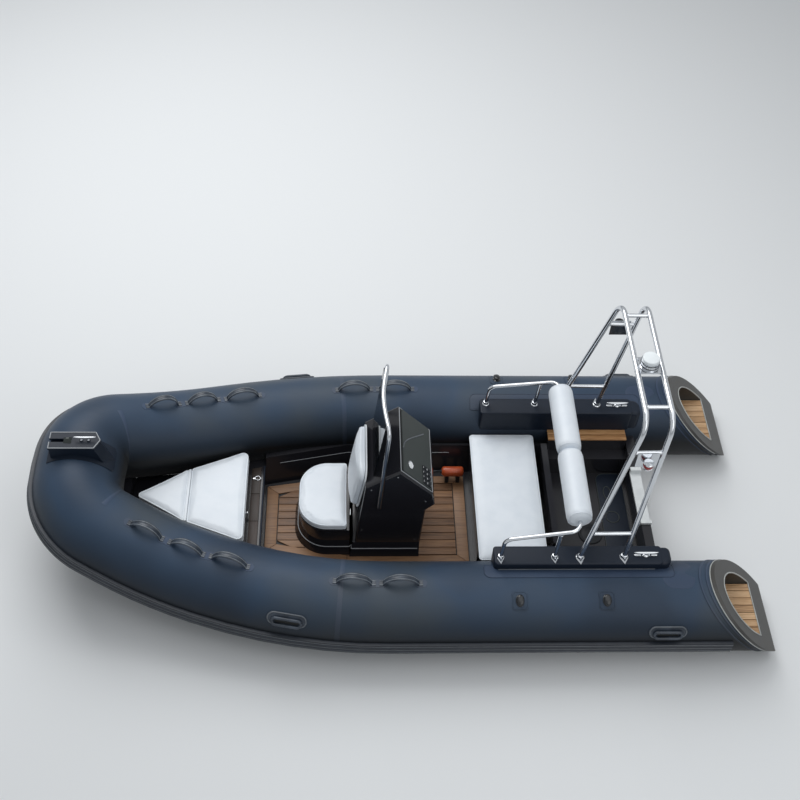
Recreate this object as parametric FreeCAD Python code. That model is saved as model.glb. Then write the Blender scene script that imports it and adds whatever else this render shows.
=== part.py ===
import FreeCAD, Part
import math
import os

# Inflatable boat with a rigid V hull, a console and a stern arch.
# Lengths in mm. +X is forward, +Y is port, +Z is up. The origin is on the centreline,
# 2.3 m aft of the bow's tip, at the waterline of the empty boat afloat.

Vec = FreeCAD.Vector

# General clearances
soft_clear = 0.4          # a cushion to its neighbour
seam = 0.3                # a glued or bolted seam between two pieces
weld = 0.005              # how far apart mitred faces may lie and still join

# Inflated collar: one tube that runs from stern to bow and back
collar_r = 280.0
collar_half = 770.0       # centreline of a side tube from the boat's centreline
collar_z = 240.0          # centreline of a side tube above the water
inner_half = collar_half - collar_r    # inner face of a side tube
stern_x = -2392.0         # lower aft edge of a tube's end
stern_edge_z = 85.0       # height of that edge
stern_top_x = -1955.0     # where the sloped end meets the tube's top
shoulder_x = 600.0        # the side tube starts to turn in here
shoulder_r = 3600.0
cheek = (1448.0, collar_half - 250.0, 346.0)
cheek_r = 2400.0
corner = (1989.0, collar_half - 466.0, 562.0)
corner_r = 290.0
nose = (1995.0, 0.0, 577.0)
nose_r = 420.0
collar_step = 15.0        # most that one mitre of the tube turns, in degrees
rod_step = 45.0           # the same for a bent rail

# Rub strake on the collar's outside
strake_half = 48.0        # half its height, as an arc length on the tube
strake_t = 12.0
strake_rib = 9.0
strake_ribs = 3
strake_end_x = -2065.0

# Rigid hull. Columns: x, keel z, share of the chine's greatest half breadth, chine z
transom_x = -1620.0
hull_stations = (
    (transom_x, -270.0, 1.0, 6.0),
    (0.0, -266.0, 1.0, 6.0),
    (650.0, -240.0, 0.968, 20.0),
    (1150.0, -165.0, 0.80, 95.0),
    (1550.0, -40.0, 0.592, 185.0),
    (1850.0, 130.0, 0.376, 262.0),
    (2020.0, 262.0, 0.176, 300.0),
)
chine_half = collar_half - 145.0
keel_half = 18.0
sheer_in = 8.0            # the sheer lies this far inside the chine
sheer_z = 272.0           # top of the hull moulding beside the side tubes
sheer_rise_x = 1150.0
sheer_bow_z = 330.0
split_aft_z = 50.0        # the joint between the bottom and the deck moulding
split_points = ((700.0, 50.0), (1300.0, 150.0), (2100.0, 335.0))

# Transom
transom_t = 60.0
transom_top = 338.0
transom_cap_t = 16.0
transom_cap_over = 6.0
transom_cap_return = 12.0  # how far the cap turns outward over each end of the notch
notch_half = 215.0
notch_depth = 34.0

# Cockpit
sole_z = 60.0
cockpit_fore_x = 862.0
cockpit_mid_x = 300.0
cockpit_half = inner_half - 88.0
cockpit_fore_half = cockpit_half - 112.0
cockpit_top_half = inner_half - 16.0
foredeck_z = 200.0
foredeck_end_x = 1722.0   # ahead of this the hull rises to the collar's underside
well_fore_x = -1070.0
well_half = inner_half - 135.0
well_sole_z = 110.0
deck_joints = (well_fore_x, cockpit_mid_x, cockpit_fore_x + seam)   # forward side of each
sliver_volume = 1.0e5     # a cut solid smaller than this is waste

# Teak
teak_t = 10.0
caulk_t = 8.0
plank_w = 59.0
plank_gap = 5.0
end_margin = 78.0         # the floor's margin boards fore and aft
caulk_border = 6.0        # the base sheet shows this much round the floor
floor_fore_x = 846.0
floor_aft_x = -506.0
floor_fore_half = cockpit_fore_half - 28.0
floor_half = cockpit_half - 50.0

# Raised shelves beside the well, against the side mouldings
shelf_in = inner_half - 55.0
shelf_top_z = 375.0
shelf_end_gap = 5.0
shelf_plank_w = 44.0

# Bow locker and its cushions
bow_aft_x = 956.0
bow_aft_half = cockpit_fore_half + 80.0
bow_seam_x = 1338.0
bow_seam_half = bow_aft_half - 155.0
bow_tip_x = 1662.0
bow_tip_half = 16.0
bow_cushion_top = 362.0
bow_cushion_t = 62.0
bow_lid_t = 12.0
bow_wall = 12.0
bow_inset = 14.0
bow_floor_z = 104.0
bow_seam_gap = 3.0
bow_cord_r = 2.4          # cord in the fabric seam that the lid folds about
step_x0 = 884.0
step_x1 = 946.0
step_half = cockpit_fore_half + 40.0

# Jockey seat in front of the console
jockey_aft_x = 284.0
jockey_fore_x = 620.0
jockey_half = 258.0
jockey_corner_r = 190.0
jockey_box_inset = 12.0
jockey_wall = 12.0
jockey_lid_z = 306.0
jockey_lid_t = 12.0
jockey_cushion_t = 56.0
jockey_floor_t = 12.0
jockey_swing = 12.0       # the cushion stands this far from the hinges, to clear the console
skirt_h = 110.0
skirt_out = 40.0
hinge_y = 110.0
hinge_pin_r = 5.0
hinge_leaf_t = 3.0
hinge_w = 46.0
hinge_leaf_h = 40.0
jockey_pin_z = jockey_lid_z + hinge_pin_r

# Console. Columns: x, z of its side profile, from the foot at the front up to the dash's top
# edge, then from the dash's lower edge down to the aft foot
console_front = ((262.0, 80.0), (186.0, 800.0), (-24.0, 957.0))
console_aft = ((-232.0, 724.0), (-250.0, 610.0), (-196.0, 548.0), (-172.0, 80.0))
console_half = 262.0
console_edge_r = 16.0
knee_z0 = 120.0
knee_z1 = 470.0
knee_half = 190.0
knee_depth = 150.0
dash_t = 8.0
dash_margin = 20.0
gauge_r = 27.0
gauge_h = 9.0
gauge_share = 0.283       # how far down the dash it sits
gauge_y = -162.0          # across the dash, where minus is to port
switch_w = 140.0
switch_d = 80.0
switch_h = 6.0
switch_share = 0.66
switch_y = -163.0
switch_rows = (0.27, 0.73)
switches_per_row = 4
rocker_l = 24.0
rocker_w = 22.0
rocker_h = 4.0

# Seat back on the console's front
back_bottom = (296.0, 500.0)
back_top = (236.0, 868.0)
back_half = 212.0
back_pad_t = 52.0
back_shell_t = 9.0
back_corner_r = 70.0

# Windscreen and its rail, whose legs stand against the console's sides
screen_rail_r = 12.5
screen_leg_y = console_half + screen_rail_r + seam
screen_leg_foot = (99.0, 604.0)
screen_corner = (54.0, 1354.0)
screen_bow = 42.0         # how far the top bar bows forward in the middle
screen_bend_r = 58.0
screen_bow_r = 900.0
screen_t = 6.0
screen_foot_x = 133.0
screen_foot_half = 200.0
screen_top_half = 240.0
screen_top_x = 74.0

# Round flanges under rail feet
foot_r = 30.0
foot_t = 7.0

# Bench
bench_fore_x = -524.0
bench_aft_x = -990.0
bench_cushion_top = 364.0
bench_cushion_t = 64.0
bench_box_inset = 16.0
bench_wall = 14.0
bench_back_t = 40.0
bench_back_h = 330.0

# Backrest rail and rolls
rest_rail_r = 12.5
rest_front_foot = (-640.0, inner_half + 122.0)
rest_rear_foot = (-973.0, inner_half + 120.0)
rest_front_top = (-652.0, inner_half + 114.0, 742.0)
rest_turn_y = inner_half + 100.0
rest_bend_r = 60.0
rest_leg_share = 0.74     # where the rear leg meets the rail, on the way to the rolls
roll_x = -1102.0
roll_z = 814.0
roll_r = 84.0
roll_end = rest_turn_y - 68.0
roll_gap = 10.0

# Mouldings on the side tubes that carry the rails
side_box_x0 = -1645.0
side_box_x1 = -600.0
side_box_in = inner_half + 37.0
side_box_out = side_box_in + 135.0
side_box_bottom = 300.0
bench_half = inner_half + 25.0
bench_low_half = inner_half + 2.0
side_box_top = 556.0
side_box_chamfer = 18.0

# Stern arch. Columns: foot x, foot y, corner x, corner y, corner z
arch_hoops = (
    (-1130.0, inner_half + 122.0, -1345.0, inner_half - 20.0, 1690.0),
    (-1402.0, inner_half + 120.0, -1492.0, inner_half - 24.0, 1690.0),
)
arch_r = 16.0
arch_bend_r = 120.0
arch_rung_r = 12.0
arch_rung_heights = (0.19, 0.80)       # share of the leg's height
arch_top_rungs = (-352.0, 352.0)
light_plate_y = 50.0
light_plate_w = 120.0
light_rung_y = 50.0
light_rung_r = 7.0
light_base_h = 42.0
plate_t = 5.0
light_r = 54.0
light_h = 28.0
side_light_r = 30.0
side_light_h = 46.0
side_plate_half = 60.0
side_plate_drop = 48.0    # the plate hangs this far below its rung, at its middle
side_plate_gap = 1.2

# Fittings on the tubes. Columns of a row: x, angle above the tube's outward side
grab_handles = ((1585.0, 88.0), (1313.0, 88.0), (1035.0, 89.0), (261.0, 90.0), (-27.0, 90.0))
grab_span = 214.0
grab_rise = 78.0
grab_w = 30.0
grab_t = 5.0
grab_foot = 26.0
grab_sink = 3.0           # a foot is shaped this deep before it is cut to the tube
carry_handles = ((632.0, 34.0), (-1646.0, 26.0))
carry_l = 236.0
carry_w = 88.0
carry_base_t = 7.0
carry_grip_rise = 36.0
carry_grip_t = 9.0
carry_grip_w = 26.0
carry_foot = 24.0
knobs = ((-742.0, 67.0), (-1270.0, 67.0))
knob_patch_l = 127.0
knob_patch_w = 140.0
knob_patch_t = 5.0
knob_patch_clip = 26.0
knob_r = 27.0
knob_h = 32.0

# Bow block with its anchor roller slot and cleat
block_aft_x = 1806.0      # point of the top's aft end
block_fore_x = 2119.0
block_half = 64.0
block_top_z = 930.0
block_plate_t = 14.0
block_point = 34.0        # length of the pointed aft end
block_aft_run = 58.0      # how far the aft wall slopes out on its way down
block_slot_w = 26.0
block_slot_l = 108.0
block_slot_depth = 30.0
block_flange = 24.0       # flange round the foot, on the tube
block_flange_t = 4.0

# Cleats
cleat_l = 150.0
cleat_h = 38.0
cleat_r = 9.0
aft_cleat_x = -1540.0
aft_cleat_y = inner_half + 108.0
bow_cleat_x = 1900.0
bow_cleat_l = 136.0
cleat_foot_x = 26.0

# Tube ends: a moulding over the sloped end, with a planked step let into it
end_t = 22.0
end_lip = 5.0             # the moulding stands this much proud of the tube
pocket_r = 194.0
pocket_axis_z = 252.0
pocket_floor_z = 186.0
pocket_fore_x = -1990.0
pocket_wall = 5.0
end_plank_w = 56.0

# Towing eyes
eye_t = 12.0
eye_hole_r = 12.0
eye_reach = 28.0
eye_plate_r = 22.0
stern_eye_y = 330.0
stern_eye_z = 150.0

# Pad for a motor's bracket
motor_pad_half = 150.0
motor_pad_z = (60.0, 296.0)
motor_pad_t = 10.0

# Fire bottle beside the bench and the hatch in the well
bottle_x0 = -500.0
bottle_x1 = -350.0
bottle_y = -322.0
bottle_r = 35.0
bottle_lift = 60.0
hatch_r = 82.0
hatch_t = 10.0
hatch_x = -1330.0
hatch_y = 150.0


# Small geometry helpers


def box(x0, x1, y0, y1, z0, z1):
    """A block between two corners."""
    return Part.makeBox(x1 - x0, y1 - y0, z1 - z0, Vec(x0, y0, z0))


def prism(points, z0, z1):
    """An upright block whose plan is a polygon of (x, y) points."""
    corners = [Vec(x, y, z0) for x, y in points]
    return Part.Face(Part.makePolygon(corners + corners[:1])).extrude(Vec(0, 0, z1 - z0))


def side_prism(points, y0, y1):
    """A block whose side view is a polygon of (x, z) points."""
    corners = [Vec(x, y0, z) for x, z in points]
    return Part.Face(Part.makePolygon(corners + corners[:1])).extrude(Vec(0, y1 - y0, 0))


def mirrored(shape):
    """The same shape on the other side of the boat."""
    return shape.mirror(Vec(0, 0, 0), Vec(0, 1, 0))


def both(shape):
    """A shape and its mirror image, as two solids of one node."""
    return Part.makeCompound([shape, mirrored(shape)])


def fused(shapes):
    """Several touching solids as one."""
    shapes = list(shapes)
    return shapes[0].multiFuse(shapes[1:]).removeSplitter()


def largest(shape):
    """The biggest solid of a shape, without slivers that a cut left beside it."""
    return max(shape.Solids, key=lambda solid: solid.Volume)


def edges_along(shape, direction):
    """Straight edges that run along a direction."""
    found = []
    for edge in shape.Edges:
        if edge.Curve.TypeId != "Part::GeomLine":
            continue
        run = edge.Vertexes[-1].Point.sub(edge.Vertexes[0].Point).normalize()
        if abs(run.dot(direction)) > 0.999:
            found.append(edge)
    return found


class Path:
    """A line through points, each bend made of equal mitres round a bend radius.

    An outward vector is carried along it, turned only as much as the line turns.
    """

    def __init__(self, points, radii, outward, step):
        corners = [Vec(*p) for p in points]
        self.points = [corners[0]]
        for before, at, after, radius in zip(corners, corners[1:], corners[2:], radii):
            self.points += bend(before, at, after, radius, step)
        self.points.append(corners[-1])
        self.ahead = [b.sub(a).normalize() for a, b in zip(self.points, self.points[1:])]
        self.outward = [Vec(*outward)]
        for come, leave in zip(self.ahead, self.ahead[1:]):
            spin = FreeCAD.Rotation(come, leave)
            self.outward.append(spin.multVec(self.outward[-1]))

    def station(self, x):
        """Point, forward direction, outward and upward vectors where the path first reaches x."""
        for a, b, ahead, outward in zip(self.points, self.points[1:], self.ahead, self.outward):
            if b.x >= x:
                point = a + b.sub(a) * ((x - a.x) / (b.x - a.x))
                return point, ahead, outward, ahead.cross(outward)
        raise ValueError("the path does not reach this x")


def bend(before, at, after, radius, step):
    """The mitre points of one bend: corners of the polygon round its arc."""
    come = at.sub(before).normalize()
    leave = after.sub(at).normalize()
    turn = come.getAngle(leave)
    count = max(1, math.ceil(math.degrees(turn) / step))
    axis = come.cross(leave).normalize()
    first = at.sub(come * (radius * math.tan(turn / 2.0)))
    centre = first + axis.cross(come) * radius
    share = turn / count
    spoke = first.sub(centre) * (1.0 / math.cos(share / 2.0))
    return [centre + FreeCAD.Rotation(axis, math.degrees(share * (i + 0.5))).multVec(spoke)
            for i in range(count)]


def sweep(profile, path):
    """A solid with one flat profile, standing at the path's start, mitred at each bend."""
    reach = max(profile.BoundBox.DiagonalLength, 1.0)
    face = profile
    pieces = []
    count = len(path.ahead)
    for i, (a, b, ahead) in enumerate(zip(path.points, path.points[1:], path.ahead)):
        if i:
            spin = FreeCAD.Rotation(path.ahead[i - 1], ahead)
            face = face.copy()
            face.rotate(a, spin.Axis, math.degrees(spin.Angle))
        first = reach if i else 0.0
        last = reach if i < count - 1 else 0.0
        run = face.copy()
        run.translate(ahead * -first)
        piece = run.extrude(ahead * (first + b.sub(a).Length + last))
        if i:
            piece = piece.cut(half_space(a, path.ahead[i - 1] + ahead, -1, 3 * reach))
        if i < count - 1:
            piece = piece.cut(half_space(b, ahead + path.ahead[i + 1], 1, 3 * reach))
        pieces.append(piece)
        face = face.copy()
        face.translate(b.sub(a))
    return pieces[0].multiFuse(pieces[1:], weld) if count > 1 else pieces[0]


def half_space(point, normal, side, size):
    """A large block on one side of the plane through a point."""
    place = FreeCAD.Placement(point, FreeCAD.Rotation(Vec(0, 0, 1), normal))
    low = 0.0 if side > 0 else -size
    block = Part.makeBox(2 * size, 2 * size, size, Vec(-size, -size, low))
    block.Placement = place
    return block


def disc(centre, normal, r):
    """A flat round face."""
    return Part.Face(Part.Wire(Part.makeCircle(r, centre, normal)))


def rod(points, radii, r):
    """A round bar through points, with a bend radius at each inner point."""
    path = Path(points, radii, (0, 0, 1), rod_step)
    return sweep(disc(path.points[0], path.ahead[0], r), path)


def bar(a, b, r):
    """A straight round bar between two points."""
    run = Vec(*b).sub(Vec(*a))
    return Part.makeCylinder(r, run.Length, Vec(*a), run)


# The collar's centreline, from the port stern round the bow to the starboard stern

half_route = [(stern_x - 20.0, collar_half, collar_z), (shoulder_x, collar_half, collar_z),
              cheek, corner]
half_radii = [shoulder_r, cheek_r, corner_r]
route = half_route + [nose] + [(x, -y, z) for x, y, z in reversed(half_route)]
collar_path = Path(route, half_radii + [nose_r] + half_radii[::-1], (0, 1, 0), collar_step)


def seat_on_collar(x, angle, lift=0.0):
    """Placement on the port tube: local X forward, local Z out of the skin at that angle."""
    point, ahead, outward, up = collar_path.station(x)
    up = up if up.z > 0 else up * -1.0
    out = outward * math.cos(math.radians(angle)) + up * math.sin(math.radians(angle))
    across = out.cross(ahead)
    turn = FreeCAD.Rotation(ahead, across, out, "XYZ")
    return FreeCAD.Placement(point + out * (collar_r + lift), turn)


def placed(shape, placement):
    """A copy of a shape moved to a placement."""
    moved = shape.copy()
    moved.Placement = placement.multiply(shape.Placement)
    return moved


def collar_circle(r):
    """The collar's section at its port stern end."""
    return disc(collar_path.points[0], Vec(1, 0, 0), r)


def end_cutter(inset=0.0):
    """Everything aft of a tube's sloped end, or of a surface this far inside it."""
    top = collar_z + collar_r
    slope = math.atan2(top - stern_edge_z, stern_top_x - stern_x)
    x = stern_x + inset
    z = stern_edge_z - inset * (1.0 - math.sin(slope)) / math.cos(slope)
    far = 4.0 * collar_r
    points = [(x, z), (x, -far), (x - far, -far), (x - far, z + far * math.sin(slope)),
              (x + far * math.cos(slope), z + far * math.sin(slope))]
    return side_prism(points, -2.0 * collar_half, 2.0 * collar_half)


def end_cylinder(r, x0, x1, z):
    """A cylinder along the port tube between two x."""
    return bar((x0, collar_half, z), (x1, collar_half, z), r)


def end_pocket(grow, x1):
    """The step's pocket: round at the top with a level floor, grown all round."""
    pocket = end_cylinder(pocket_r + grow, stern_x - collar_r, x1 + grow, pocket_axis_z)
    below = box(stern_x - 2.0 * collar_r, x1 + 2.0 * collar_r, 0.0, 2.0 * collar_half,
                -collar_r, pocket_floor_z - grow)
    return pocket.cut(below)


collar_full = sweep(collar_circle(collar_r), collar_path)


def make_collar():
    """The inflated tube, cut at both sterns, with a pocket for each end moulding."""
    pocket = end_pocket(pocket_wall + seam, pocket_fore_x)
    return collar_full.cut(end_cutter(end_t)).cut(pocket).cut(mirrored(pocket))


def make_tube_end():
    """Port end moulding: a cap over the sloped end and the walls of the step's pocket."""
    x1 = stern_top_x + collar_r
    outer = end_cylinder(collar_r + end_lip, stern_x - 1.0, x1, collar_z)
    cap = outer.common(end_cutter(end_t - seam)).cut(end_cutter())
    tray = end_pocket(pocket_wall, pocket_fore_x).cut(end_cutter(1.0))
    return largest(fused([cap, tray]).cut(end_pocket(0.0, pocket_fore_x)))


def make_end_planks():
    """Port planks on the floor of a tube end's step."""
    z = pocket_floor_z + seam
    reach = math.sqrt(pocket_r ** 2 - (pocket_axis_z - z) ** 2) - seam
    sheet = prism([(stern_x, collar_half - reach), (pocket_fore_x - seam, collar_half - reach),
                   (pocket_fore_x - seam, collar_half + reach), (stern_x, collar_half + reach)],
                  z, z + teak_t).cut(end_cutter(2.0))
    return planked(sheet, end_plank_w)


def make_rub_strake():
    """The ribbed band round the collar's outside, swept along the collar's own centreline."""
    span = strake_half / collar_r
    start = collar_path.points[0]

    def at(r, angle):
        return Vec(start.x, start.y + r * math.cos(angle), start.z + r * math.sin(angle))

    inner = collar_r + seam
    outer = collar_r + strake_t
    edges = [Part.Arc(at(inner, -span), at(inner, 0.0), at(inner, span)).toShape()]
    steps = 4 * strake_ribs + 1
    marks = [span - 2.0 * span * i / steps for i in range(steps + 1)]
    crests = [outer + (strake_rib if i % 4 in (2, 3) else 0.0) for i in range(steps + 1)]
    crests[0] = crests[-1] = outer
    points = [at(inner, span)] + [at(r, a) for r, a in zip(crests, marks)] + [at(inner, -span)]
    edges += Part.makePolygon(points).Edges
    band = sweep(Part.Face(Part.Wire(edges)), collar_path)
    far = stern_x - 200.0
    aft = box(far, strake_end_x, -2 * collar_half, 2 * collar_half, -500.0, 1000.0)
    return largest(band.cut(aft))


# Hull and deck


def hull_section(x, keel_z, share, chine_z, top):
    """One closed section of the hull, square to X."""
    half = chine_half * share
    points = [(-keel_half, keel_z), (keel_half, keel_z), (half, chine_z), (half - sheer_in, top),
              (sheer_in - half, top), (-half, chine_z)]
    corners = [Vec(x, y, z) for y, z in points]
    return Part.makePolygon(corners + corners[:1])


def sheer_at(x):
    """Height of the hull moulding's top edge."""
    if x <= sheer_rise_x:
        return sheer_z
    last = hull_stations[-1][0]
    return sheer_z + (sheer_bow_z - sheer_z) * (x - sheer_rise_x) / (last - sheer_rise_x)


def cockpit_hollow():
    """The space inside the cockpit, the well aft of the bench and the step at the foredeck."""
    over = 10.0

    def ring(z, growth):
        fore = cockpit_fore_half + growth
        wide = cockpit_half + growth
        points = [(well_fore_x, -wide), (cockpit_mid_x, -wide), (cockpit_fore_x, -fore),
                  (cockpit_fore_x, fore), (cockpit_mid_x, wide), (well_fore_x, wide)]
        corners = [Vec(x, y, z) for x, y in points]
        return Part.makePolygon(corners + corners[:1])

    flare = (cockpit_top_half - cockpit_half) / (sheer_z - sole_z)
    rise = sheer_z + over - sole_z
    main = Part.makeLoft([ring(sole_z, 0.0), ring(sole_z + rise, rise * flare)], True, True)
    high = sheer_bow_z + over
    fore = box(cockpit_fore_x - over, foredeck_end_x, -chine_half, chine_half, foredeck_z, high)
    well = box(transom_x - over, well_fore_x + over, -well_half, well_half, well_sole_z, high)
    return [main, fore, well]


def bow_outline(x0, x1, inset):
    """Plan of the bow locker between two x, drawn in from the cushions' edge by an inset."""

    def half(x):
        if x <= bow_seam_x:
            share = (x - bow_aft_x) / (bow_seam_x - bow_aft_x)
            return bow_aft_half + share * (bow_seam_half - bow_aft_half) - inset
        share = (x - bow_seam_x) / (bow_tip_x - bow_seam_x)
        return max(bow_seam_half + share * (bow_tip_half - bow_seam_half) - inset, 4.0)

    middle = [x for x in (bow_seam_x,) if x0 < x < x1]
    stations = [x0] + middle + [x1]
    return [(x, half(x)) for x in stations] + [(x, -half(x)) for x in reversed(stations)]


def locker_hollow():
    """The inside of the bow locker, down into the hull."""
    clear = bow_inset + bow_wall
    plan = bow_outline(bow_aft_x + clear, bow_seam_x - clear, clear)
    return prism(plan, bow_floor_z, bow_cushion_top - bow_cushion_t - bow_lid_t)


def make_hull_and_deck():
    """The bottom moulding and the deck moulding, split on a joint that the collar hides.

    The deck moulding is made in sections with a bonded seam between them.
    """
    sections = [hull_section(x, keel, share, chine, max(sheer_at(x), chine + 20.0))
                for x, keel, share, chine in hull_stations]
    whole = Part.makeLoft(sections, True, True)
    whole = whole.cut(collar_full)
    for hollow in cockpit_hollow() + [locker_hollow()]:
        whole = whole.cut(hollow)
    aft = transom_x - transom_t
    high = collar_z + 2.0 * collar_r
    above = [(aft, split_aft_z)] + list(split_points) + [(split_points[-1][0], high), (aft, high)]
    upper = side_prism(above, -collar_half, collar_half)
    deck = whole.common(upper)
    bottom = whole.cut(upper)
    for x in deck_joints:
        deck = deck.cut(box(x - seam, x, -collar_half, collar_half, -high, high))
    sections = [solid for solid in deck.Solids if solid.Volume > sliver_volume]
    return largest(bottom), Part.makeCompound(sections)


def make_transom():
    """The transom board: the hull's aft section carried up between the tubes."""
    x, keel_z, share, chine_z = hull_stations[0]
    section = hull_section(x, keel_z, share, chine_z, transom_top)
    board = Part.Face(section).extrude(Vec(-transom_t, 0, 0))
    notch = box(x - 2 * transom_t, x + 1.0, -notch_half, notch_half,
                transom_top - notch_depth, transom_top + 10.0)
    inner = side_box_in - seam
    shoulder = box(x - 2 * transom_t, x + 1.0, inner, 2 * inner, side_box_bottom - seam,
                   transom_top + 10.0)
    return board.cut(notch).cut(collar_full).cut(shoulder).cut(mirrored(shoulder))


def make_transom_cap():
    """The pale edge trim in the transom's notch, turned out over its two ends."""
    x = transom_x
    over = transom_cap_over
    wide = notch_half + transom_cap_return
    high, low = transom_top + seam, transom_top - notch_depth + seam
    t = transom_cap_t
    inner = notch_half - seam
    points = [(-wide, high), (-inner, high), (-inner, low), (inner, low), (inner, high),
              (wide, high), (wide, high + t), (inner - t, high + t), (inner - t, low + t),
              (t - inner, low + t), (t - inner, high + t), (-wide, high + t)]
    corners = [Vec(x + over, y, z) for y, z in points]
    face = Part.Face(Part.makePolygon(corners + corners[:1]))
    return face.extrude(Vec(-transom_t - 2 * over, 0, 0)).cut(collar_full)


# Teak


def planking(outline, width, z0, along_y=False):
    """Planks of one width cut to an outline, as solids a caulk line apart."""
    sheet = prism(outline, z0, z0 + teak_t)
    bounds = sheet.BoundBox
    planks = []
    low, high = (bounds.XMin, bounds.XMax) if along_y else (bounds.YMin, bounds.YMax)
    count = max(1, round((high - low) / width))
    pitch = (high - low) / count
    for i in range(count):
        a = low + i * pitch + plank_gap / 2.0
        b = a + pitch - plank_gap
        if along_y:
            strip = box(a, b, bounds.YMin - 1.0, bounds.YMax + 1.0, z0 - 1.0, z0 + teak_t + 1.0)
        else:
            strip = box(bounds.XMin - 1.0, bounds.XMax + 1.0, a, b, z0 - 1.0, z0 + teak_t + 1.0)
        planks += sheet.common(strip).Solids
    return planks


def planked(sheet, width):
    """A sheet cut into lengthwise planks, a caulk line apart, across its own breadth."""
    bounds = sheet.BoundBox
    count = max(1, round(bounds.YLength / width))
    pitch = bounds.YLength / count
    planks = []
    for i in range(count):
        a = bounds.YMin + i * pitch + plank_gap / 2.0
        strip = box(bounds.XMin, bounds.XMax, a, a + pitch - plank_gap, bounds.ZMin, bounds.ZMax)
        planks += sheet.common(strip).Solids
    return Part.makeCompound(planks)


floor_top = sole_z + caulk_t + seam + teak_t


def floor_outline(side, end):
    """Plan of the cockpit's teak floor, drawn in at the sides and at the two ends."""
    fore, wide = floor_fore_half - side, floor_half - side
    x0, x1 = floor_aft_x + end, floor_fore_x - end
    return [(x0, -wide), (cockpit_mid_x, -wide), (x1, -fore), (x1, fore), (cockpit_mid_x, wide),
            (x0, wide)]


def make_floor():
    """The caulked base sheet and the planks on it: a margin board round lengthwise planks."""
    base = prism(floor_outline(-caulk_border, -caulk_border), sole_z + seam, sole_z + caulk_t)
    top = sole_z + caulk_t + seam
    margin = prism(floor_outline(0.0, 0.0), top, top + teak_t)
    margin = margin.cut(prism(floor_outline(plank_w, end_margin), top - 1.0, top + teak_t + 1.0))
    planks = planking(floor_outline(plank_w + plank_gap, end_margin + plank_gap), plank_w, top)
    return base, Part.makeCompound(margin.Solids + planks)


def make_shelves():
    """The two raised shelves beside the well, and the teak on them."""
    x0, x1 = transom_x + shelf_end_gap, well_fore_x - shelf_end_gap
    y0, y1 = shelf_in, side_box_in - seam
    shelf = box(x0, x1, y0, y1, sheer_z + seam, shelf_top_z).cut(collar_grown)
    planks = planking([(x0, y0), (x1, y0), (x1, y1), (x0, y1)], shelf_plank_w,
                      shelf_top_z + seam)
    return both(largest(shelf)), Part.makeCompound(planks + [mirrored(p) for p in planks])


# Bow


def make_bow_locker():
    """The locker's wall that stands on the foredeck, open under the lid."""
    top = bow_cushion_top - bow_cushion_t - bow_lid_t - seam
    low = foredeck_z + seam
    wall = prism(bow_outline(bow_aft_x + bow_inset, bow_tip_x - bow_inset, bow_inset), low, top)
    clear = bow_inset + bow_wall
    fore = prism(bow_outline(bow_seam_x + bow_wall, bow_tip_x - 3.0 * clear, clear), low, top)
    return wall.cut(locker_hollow()).cut(fore).cut(collar_full)


def make_bow_lid():
    """The hinged board under the aft bow cushion."""
    top = bow_cushion_top - bow_cushion_t - soft_clear
    plan = bow_outline(bow_aft_x + bow_inset - 6.0, bow_seam_x - bow_seam_gap, bow_inset - 6.0)
    return prism(plan, top - bow_lid_t + seam, top)


def make_bow_fore_panel():
    """The fixed board under the fore bow cushion."""
    top = bow_cushion_top - bow_cushion_t - soft_clear
    plan = bow_outline(bow_seam_x + bow_seam_gap, bow_tip_x - 10.0, bow_inset - 6.0)
    return prism(plan, top - bow_lid_t + seam, top).cut(collar_full)


def make_bow_cushion(x0, x1, corner_round):
    """One bow cushion, its upright edges rounded at the aft corners."""
    low = bow_cushion_top - bow_cushion_t
    pad = prism(bow_outline(x0, x1, 0.0), low, bow_cushion_top)
    if corner_round > 0.0:
        aft = [e for e in edges_along(pad, Vec(0, 0, 1)) if e.Vertexes[0].X < x0 + 1.0]
        pad = pad.makeFillet(corner_round, aft)
    return pad


def make_fold_cord():
    """The cord sewn in the seam that the aft bow cushion folds about."""
    half = bow_seam_half - bow_seam_gap
    return bar((bow_seam_x, -half, bow_cushion_top), (bow_seam_x, half, bow_cushion_top),
               bow_cord_r)


def make_bow_step():
    """The teak tread on the foredeck's aft edge."""
    plan = [(step_x0, -step_half), (step_x1, -step_half + 12.0), (step_x1, step_half - 12.0),
            (step_x0, step_half)]
    return prism(plan, foredeck_z + seam, foredeck_z + teak_t)


# Jockey seat


def d_shape(inset, z0, z1, aft=0.0):
    """The seat's plan: square at the back, rounded at the front corners."""
    x0, x1 = jockey_aft_x + aft, jockey_fore_x - inset
    y = jockey_half - inset
    block = box(x0, x1, -y, y, z0, z1)
    fore = [e for e in edges_along(block, Vec(0, 0, 1)) if e.Vertexes[0].X > x1 - 1.0]
    return block.makeFillet(max(jockey_corner_r - inset, 10.0), fore)


def foot_wire(shape):
    """The outline of a block's lowest face."""
    return min(shape.Faces, key=lambda face: face.CenterOfMass.z).OuterWire


def make_jockey_seat():
    """Hollow seat box with its skirt, the lid over it and the cushion on the lid."""
    base = floor_top + seam
    inset = jockey_box_inset
    top = jockey_lid_z - seam
    shell = d_shape(inset, base, top)
    foot = foot_wire(d_shape(inset - skirt_out, base, top))
    neck = foot_wire(d_shape(inset, base + skirt_h, top))
    skirt = Part.makeLoft([foot, neck], True, True)
    hollow = d_shape(inset + jockey_wall, base + jockey_floor_t, top + 1.0, jockey_wall)
    seat_box = shell.fuse(skirt).cut(hollow).removeSplitter()
    lid = d_shape(2.0, jockey_lid_z, jockey_lid_z + jockey_lid_t, 2.0)
    cushion_z = jockey_lid_z + jockey_lid_t + soft_clear
    cushion = d_shape(0.0, cushion_z, cushion_z + jockey_cushion_t, jockey_swing)
    return seat_box, lid, cushion


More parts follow.
